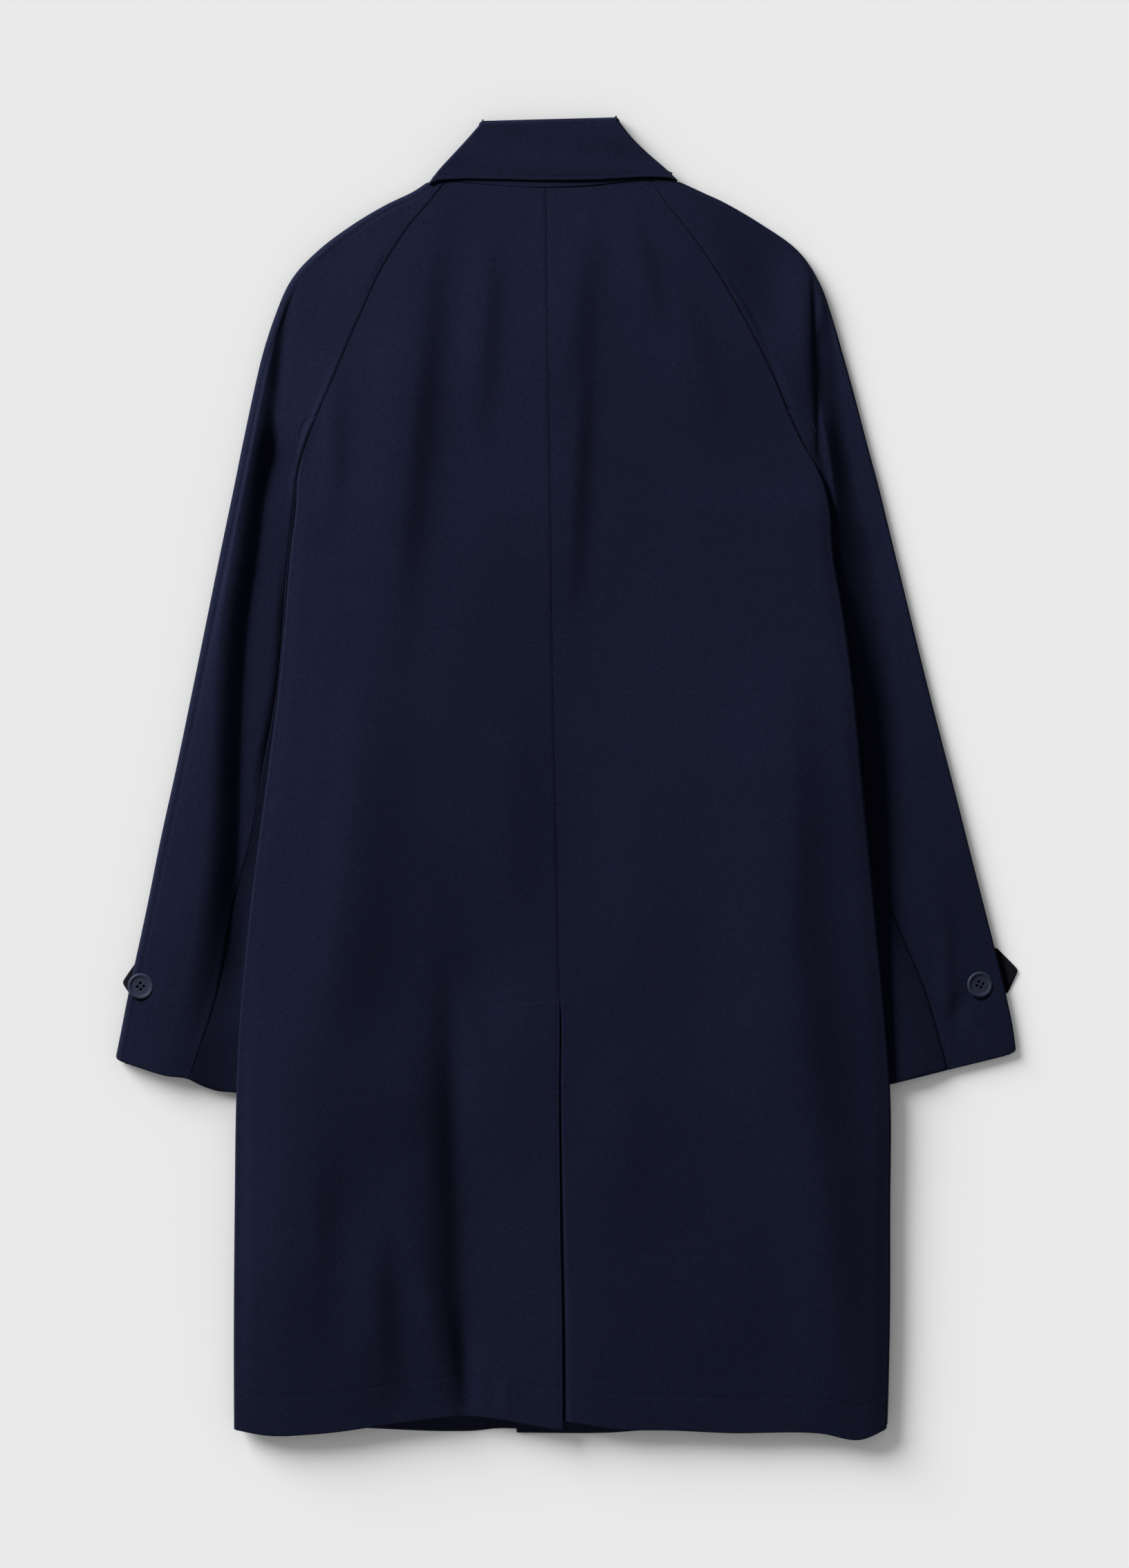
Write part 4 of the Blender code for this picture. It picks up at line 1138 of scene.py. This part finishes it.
def collar_ring(t, inset):
    """Section of the collar at t from edge to fold, from the left front round the back to the right front:
    x, z, the outward normal's x and z, how much each point belongs to the front, and how far it is from
    the side towards the collar's end."""
    side_inset = COLLAR_SIDES * inset
    left = mix(*COLLAR_LEFT, t) + side_inset + COLLAR_HOLLOW["left"] * 4 * t * (1 - t)
    right = mix(*COLLAR_RIGHT, t) - side_inset - COLLAR_HOLLOW["right"] * 4 * t * (1 - t)
    radius = COLLAR_TOP / 2 - inset
    depth = min(radius, COLLAR_DEPTH)
    sides = np.linspace(0, math.pi, RING_SIDE_POINTS)
    flat = np.linspace(0, 1, RING_BACK_POINTS + 2)[1:-1]
    inwards = np.linspace(0, 1, RING_FRONT_POINTS + 1)[1:]
    x = np.concatenate([
        mix(left + depth, COLLAR_MIDDLE - FRONT_GAP, inwards[::-1]),
        left + depth - depth * np.sin(sides),
        mix(left + depth, right - depth, flat),
        right - depth + depth * np.sin(sides),
        mix(right - depth, COLLAR_MIDDLE + FRONT_GAP, inwards),
    ])
    still = np.zeros(len(inwards))
    normal_x = np.concatenate([still, -np.sin(sides), np.zeros(len(flat)), np.sin(sides), still])
    normal_z = np.concatenate([still - 1, -np.cos(sides), np.ones(len(flat)), np.cos(sides), still - 1])
    inner = np.concatenate([inwards[::-1], np.zeros(len(x) - 2 * len(inwards)), inwards])
    z = inset + radius * (1 + normal_z)
    return x, z, normal_x, normal_z, (1 - normal_z) / 2, inner


def collar_stand():
    """Rows from the neck seam up, columns round the neck."""
    rows = []
    for t in np.linspace(0, 1, STAND_ROWS):
        x, z, _, _, in_front, _ = collar_ring(t, COLLAR_INSET)
        top = COLLAR_FOLD_Y - STAND_SHORT + COLLAR_TILT * x
        y = mix(neck_line(x) - SEAM / 2 + CLOSED_SEAM, top, t) - in_front * front_drop(collar_across(x, t))
        rows.append((x, y, z))
    x, y, z = (np.array(part) for part in zip(*rows))
    return shell("collar_stand_cloth", x, y, z)


cloth = put("collar_stand_cloth", collar_stand(), body_cloth, "collar_stand")

# Collar fall
# The outer part of the collar in two layers of twill, turned over at the fold and edge-stitched 3 mm from
# its free edge. Its ends come to points at the front, which lie underneath here.
COLLAR_ROLL = 3.4
COLLAR_ROLL_ANGLE = math.radians(110)
COLLAR_POINT = 20.0
FALL_STITCH = 3.2
FALL_STITCH_ENDS = (-98, 76)
FALL_WAVE = 0.35
FALL_WAVE_SLANTED = 0.3
FALL_WAVE_MOST = 0.4
FALL_ROWS = 34
FALL_EDGE = 0.12
FALL_EDGE_ROWS = 14
ROLL_ROWS = 12


def collar_fall():
    """Rows from the free edge to the fold and round it, columns round the neck."""
    rows = []
    near_edge = np.linspace(0, FALL_EDGE, FALL_EDGE_ROWS)
    for t in np.unique(np.concatenate([np.linspace(0, 1, FALL_ROWS), near_edge])):
        x, z, normal_x, normal_z, in_front, inner = collar_ring(t, 0)
        y = mix(COLLAR_EDGE.at("y", x), COLLAR_FOLD_Y + COLLAR_TILT * x - COLLAR_ROLL, t)
        y = y - in_front * front_drop(collar_across(x, t)) - COLLAR_POINT * inner * (1 - t)
        wave = FALL_WAVE * np.sin(x / 17 + 1) * np.sin(math.pi * t)
        wave = wave + FALL_WAVE_SLANTED * np.sin(x / 31 + 9 * t)
        stitched = STITCH_DIP * bump(y - COLLAR_EDGE.at("y", x) - FALL_STITCH, STITCH_WIDTH)
        z = z + (np.minimum(wave, FALL_WAVE_MOST) - stitched) * np.clip(normal_z, 0, 1)
        rows.append((x, y, z))
    for turn in np.linspace(0, COLLAR_ROLL_ANGLE, ROLL_ROWS)[1:]:
        inwards = COLLAR_ROLL * (1 - math.cos(turn))
        rows.append((x - normal_x * inwards, y + COLLAR_ROLL * math.sin(turn), z - normal_z * inwards))
    x, y, z = (np.array(part) for part in zip(*rows))
    free = np.zeros(x.shape)
    free[0] = 1
    free[:, 0] = 1
    free[:, -1] = 1
    return shell("collar_fall_cloth", x, y, z, free=free)


cloth = put("collar_fall_cloth", collar_fall(), body_cloth, "collar_fall")
fall_x = np.linspace(*FALL_STITCH_ENDS, 80)
fall_row = np.stack([fall_x, COLLAR_EDGE.at("y", fall_x) + FALL_STITCH], axis=1)
sewn = stitches("fall_stitches", cloth, [fall_row])

# Cuff tabs
# Pointed straps of doubled twill in a greyer navy, stitched round the edge. Each lies under its sleeve and
# shows its point outside the sleeve's outer fold. The right one lies askew, so its sides are unequal.
TAB_WIDTH = 34
TAB_SHOULDERS = {"left": (12, 12), "right": (8, 17)}
TAB_TIP_ROUND = 0.006
TAB_STITCH = 4.0
TAB_STITCH_TIP = 1.4
TAB_STITCH_RUN = 24
TAB_ROWS = 40
TAB_COLUMNS = 37
CHARCOAL_DARK = (0.0042, 0.0041, 0.0072, 1)
CHARCOAL_LIGHT = (0.0115, 0.0108, 0.0165, 1)


def cuff_tab(side):
    """Columns across the strap from its lower edge to its upper one, rows from the tip to the other end."""
    tip_x, tip_y = TAB_TIP[side]
    across = np.linspace(-1, 1, TAB_COLUMNS)[None]
    low, high = TAB_SHOULDERS[side]
    slant = np.sqrt(across ** 2 + TAB_TIP_ROUND) - math.sqrt(TAB_TIP_ROUND)
    point = np.where(across < 0, low, high) * slant
    rows = np.linspace(0, 1, TAB_ROWS)[:, None]
    x = tip_x - SIGN[side] * mix(point, TAB_LENGTH, rows)
    y = tip_y + TAB_WIDTH / 2 * across + 0 * x
    z = np.full(x.shape, TAB_WALL)
    free = np.ones(x.shape)
    return shell(f"cuff_tab_{side}_cloth", x, y, z, wall=TAB_WALL, turned=side == "left", free=free)


tab_cloth = twill("tab_twill", 0.0, CHARCOAL_DARK, CHARCOAL_LIGHT)
for side in SIGN:
    name = f"cuff_tab_{side}"
    cloth = put(f"{name}_cloth", cuff_tab(side), tab_cloth, name)
    tip = np.array(TAB_TIP[side])
    low, high = TAB_SHOULDERS[side]
    inner = TAB_WIDTH / 2 - TAB_STITCH
    inwards = -SIGN[side]
    row = tip + np.array((
        (inwards * (high + TAB_STITCH_RUN), inner),
        (inwards * (high + TAB_STITCH), inner),
        (inwards * TAB_STITCH * TAB_STITCH_TIP, 0),
        (inwards * (low + TAB_STITCH), -inner),
        (inwards * (low + TAB_STITCH_RUN), -inner),
    ))
    sewn = stitches(f"tab_stitches_{side}", cloth, [row])

# Cuff buttons
# Turned buttons of slate navy plastic with a wide raised rim and four drilled holes. Each rests on its top
# sleeve near the cuff, tilted a little with the cloth under it.
BUTTON_PROFILE = Sections(
    "place radius height",
    (0, 0, 1.9), (1, 4.8, 1.9), (2, 7.0, 2.0), (3, 8.0, 2.4), (4, 8.9, 2.6), (5, 9.7, 2.4), (6, 10.4, 1.6),
    (7, 9.9, 0.8), (8, 8.4, 0.2), (9, 6.4, 0), (10, 0, 0),
)
BUTTON_TURN = {"left": math.radians(5), "right": math.radians(17)}
BUTTON_TILT = {"left": math.radians(1), "right": math.radians(7)}
BUTTON_STEPS = 72
BUTTON_RINGS = 61
BUTTON_GAP = 0.2
HOLE_RADIUS = 1.15
HOLE_OUT = 2.5
HOLE_SEGMENTS = 24
DRILL_LENGTH = 10
SLATE = (0.024, 0.030, 0.056, 1)
SLATE_DARK = (0.020, 0.025, 0.049, 1)


def slate_plastic(name):
    """Satin plastic with a faint cloudiness."""
    made, surface, shade = new_surface(name)
    place = shade.node("TexCoord", out=3)
    cloud = shade.node("TexNoise", None, {"Vector": place, "Scale": 420.0, "Detail": 3.0})
    mixed = {0: cloud, 6: SLATE_DARK, 7: SLATE}
    shade.node("Mix", {"data_type": "RGBA"}, mixed, out=2).feed(surface, "Base Color")
    (0.5 + cloud * 0.15).feed(surface, "Roughness")
    surface.inputs["Specular IOR Level"].default_value = 0.2
    return made


def cuff_button(side):
    """The profile turned round the button's axis, with the holes drilled through."""
    places = np.linspace(0, 10, BUTTON_RINGS)
    radius = np.maximum(BUTTON_PROFILE.at("radius", places), 0)
    height = BUTTON_PROFILE.at("height", places)
    turned = bmesh.new()
    rings = []
    for r, z in zip(radius[1:-1], height[1:-1]):
        angles = [2 * math.pi * k / BUTTON_STEPS for k in range(BUTTON_STEPS)]
        rings.append([turned.verts.new((r * math.cos(a) * MM, r * math.sin(a) * MM, z * MM)) for a in angles])
    top = turned.verts.new((0, 0, height[0] * MM))
    bottom = turned.verts.new((0, 0, height[-1] * MM))
    for k in range(BUTTON_STEPS):
        after = (k + 1) % BUTTON_STEPS
        turned.faces.new((top, rings[0][k], rings[0][after]))
        turned.faces.new((bottom, rings[-1][after], rings[-1][k]))
        for ring, nxt in zip(rings, rings[1:]):
            turned.faces.new((ring[k], nxt[k], nxt[after], ring[after]))
    mesh = bpy.data.meshes.new("turned_button")
    turned.to_mesh(mesh)
    turned.free()
    drills = bmesh.new()
    for k in range(4):
        angle = BUTTON_TURN[side] + k * math.pi / 2
        made = bmesh.ops.create_cone(
            drills, cap_ends=True, segments=HOLE_SEGMENTS, radius1=HOLE_RADIUS * MM, radius2=HOLE_RADIUS * MM,
            depth=DRILL_LENGTH * MM)
        move = (HOLE_OUT * math.cos(angle) * MM, HOLE_OUT * math.sin(angle) * MM, 0)
        bmesh.ops.translate(drills, verts=made["verts"], vec=move)
    drill_mesh = bpy.data.meshes.new("button_drills")
    drills.to_mesh(drill_mesh)
    drills.free()
    blank = bpy.data.objects.new("button_blank", mesh)
    drill = bpy.data.objects.new("button_drill", drill_mesh)
    for made in (blank, drill):
        bpy.context.scene.collection.objects.link(made)
    cut = blank.modifiers.new("holes", "BOOLEAN")
    cut.object = drill
    cut.operation = "DIFFERENCE"
    cut.solver = "EXACT"
    drilled = bpy.data.meshes.new_from_object(blank.evaluated_get(bpy.context.evaluated_depsgraph_get()))
    for made in (blank, drill):
        bpy.data.objects.remove(made)
    for face in drilled.polygons:
        face.use_smooth = True
    drilled.name = f"cuff_button_{side}_turned"
    return drilled


plastic = slate_plastic("slate_plastic")
for side in SIGN:
    name = f"cuff_button_{side}"
    button = put(f"{name}_turned", cuff_button(side), plastic, name)
    x, y = BUTTON_CENTRE[side]
    seam_x, _, _, width = sleeve_line(side, y)
    depth = edge_depth(side, y, FOLD_DEPTH[side])
    rest = top_sleeve_height(side, x, y, y, abs(x - seam_x), width, depth)
    button.location = (x * MM, y * MM, float(rest + BUTTON_GAP) * MM)
    button.rotation_euler.y = BUTTON_TILT[side]

# Floor, light and camera
# A plain pale floor and a camera straight above. A low window to the upper left lights the coat, a soft low
# light and a wide fill light the floor, and a weak warm light from the hem's side reaches the fronts under
# the raised hem.
WINDOW_RUN = Vector((0.639, -0.652, -0.407))
WINDOW_DISTANCE = 4.6
FLOOR_RUN = Vector((0.71, -0.65, -0.45))
UNDER_HEM_RUN = Vector((0.15, 0.75, -0.60))
FLOOR_COLOUR = (0.80, 0.80, 0.80, 1)
FLOOR_REACH = 6
WARM = (1.0, 0.85, 0.70)


def pale_floor():
    made, surface, _ = new_surface("pale_floor")
    surface.inputs["Base Color"].default_value = FLOOR_COLOUR
    surface.inputs["Roughness"].default_value = 0.9
    surface.inputs["Specular IOR Level"].default_value = 0.1
    return made


def add_light(light, run, lit):
    """Places a light that shines along a run, on one collection alone."""
    made = bpy.data.objects.new(light.name, light)
    made.rotation_euler = run.to_track_quat("-Z", "Y").to_euler()
    made.light_linking.receiver_collection = lit
    bpy.context.scene.collection.objects.link(made)
    return made


def sun(name, energy, spread, run, lit):
    """A far light whose rays are spread by so many degrees."""
    light = bpy.data.lights.new(name, "SUN")
    light.energy = energy
    light.angle = math.radians(spread)
    return add_light(light, run, lit)


floor_mesh = bpy.data.meshes.new("floor")
corners = [(x * FLOOR_REACH, y * FLOOR_REACH, 0) for x, y in ((-1, -1), (1, -1), (1, 1), (-1, 1))]
floor_mesh.from_pydata(corners, [], [(0, 1, 2, 3)])
floor_mesh.materials.append(pale_floor())
floor = bpy.data.objects.new("floor", floor_mesh)
bpy.context.scene.collection.objects.link(floor)

floor_only = bpy.data.collections.new("floor_only")
floor_only.objects.link(floor)
fronts = bpy.data.collections.new("fronts")
for side in SIGN:
    fronts.objects.link(bpy.data.objects[f"front_{side}_cloth"])

window = bpy.data.lights.new("window", "AREA")
window.shape = "DISK"
window.size = 1.29
window.energy = 392
window_light = add_light(window, WINDOW_RUN, coat)
window_light.location = WINDOW_RUN * -WINDOW_DISTANCE
soft_light = sun("floor_light", energy=4.6, spread=36, run=FLOOR_RUN, lit=floor_only)
fill_light = sun("floor_fill", energy=0.85, spread=170, run=DOWN, lit=floor_only)
bounce_light = sun("under_hem", energy=1.2, spread=60, run=UNDER_HEM_RUN, lit=fronts)
bounce_light.data.color = WARM

room = bpy.data.worlds.new("room")
room.use_nodes = True
room.node_tree.nodes["Background"].inputs["Color"].default_value = (1, 1, 1, 1)
room.node_tree.nodes["Background"].inputs["Strength"].default_value = 0.135
bpy.context.scene.world = room

lens = bpy.data.cameras.new("camera")
lens.lens = 144.7
lens.sensor_width = 36
camera = bpy.data.objects.new("camera", lens)
camera.location = (-0.00165, -0.0044, 5.015)
bpy.context.scene.collection.objects.link(camera)
bpy.context.scene.camera = camera
bpy.context.scene.view_settings.view_transform = "Standard"
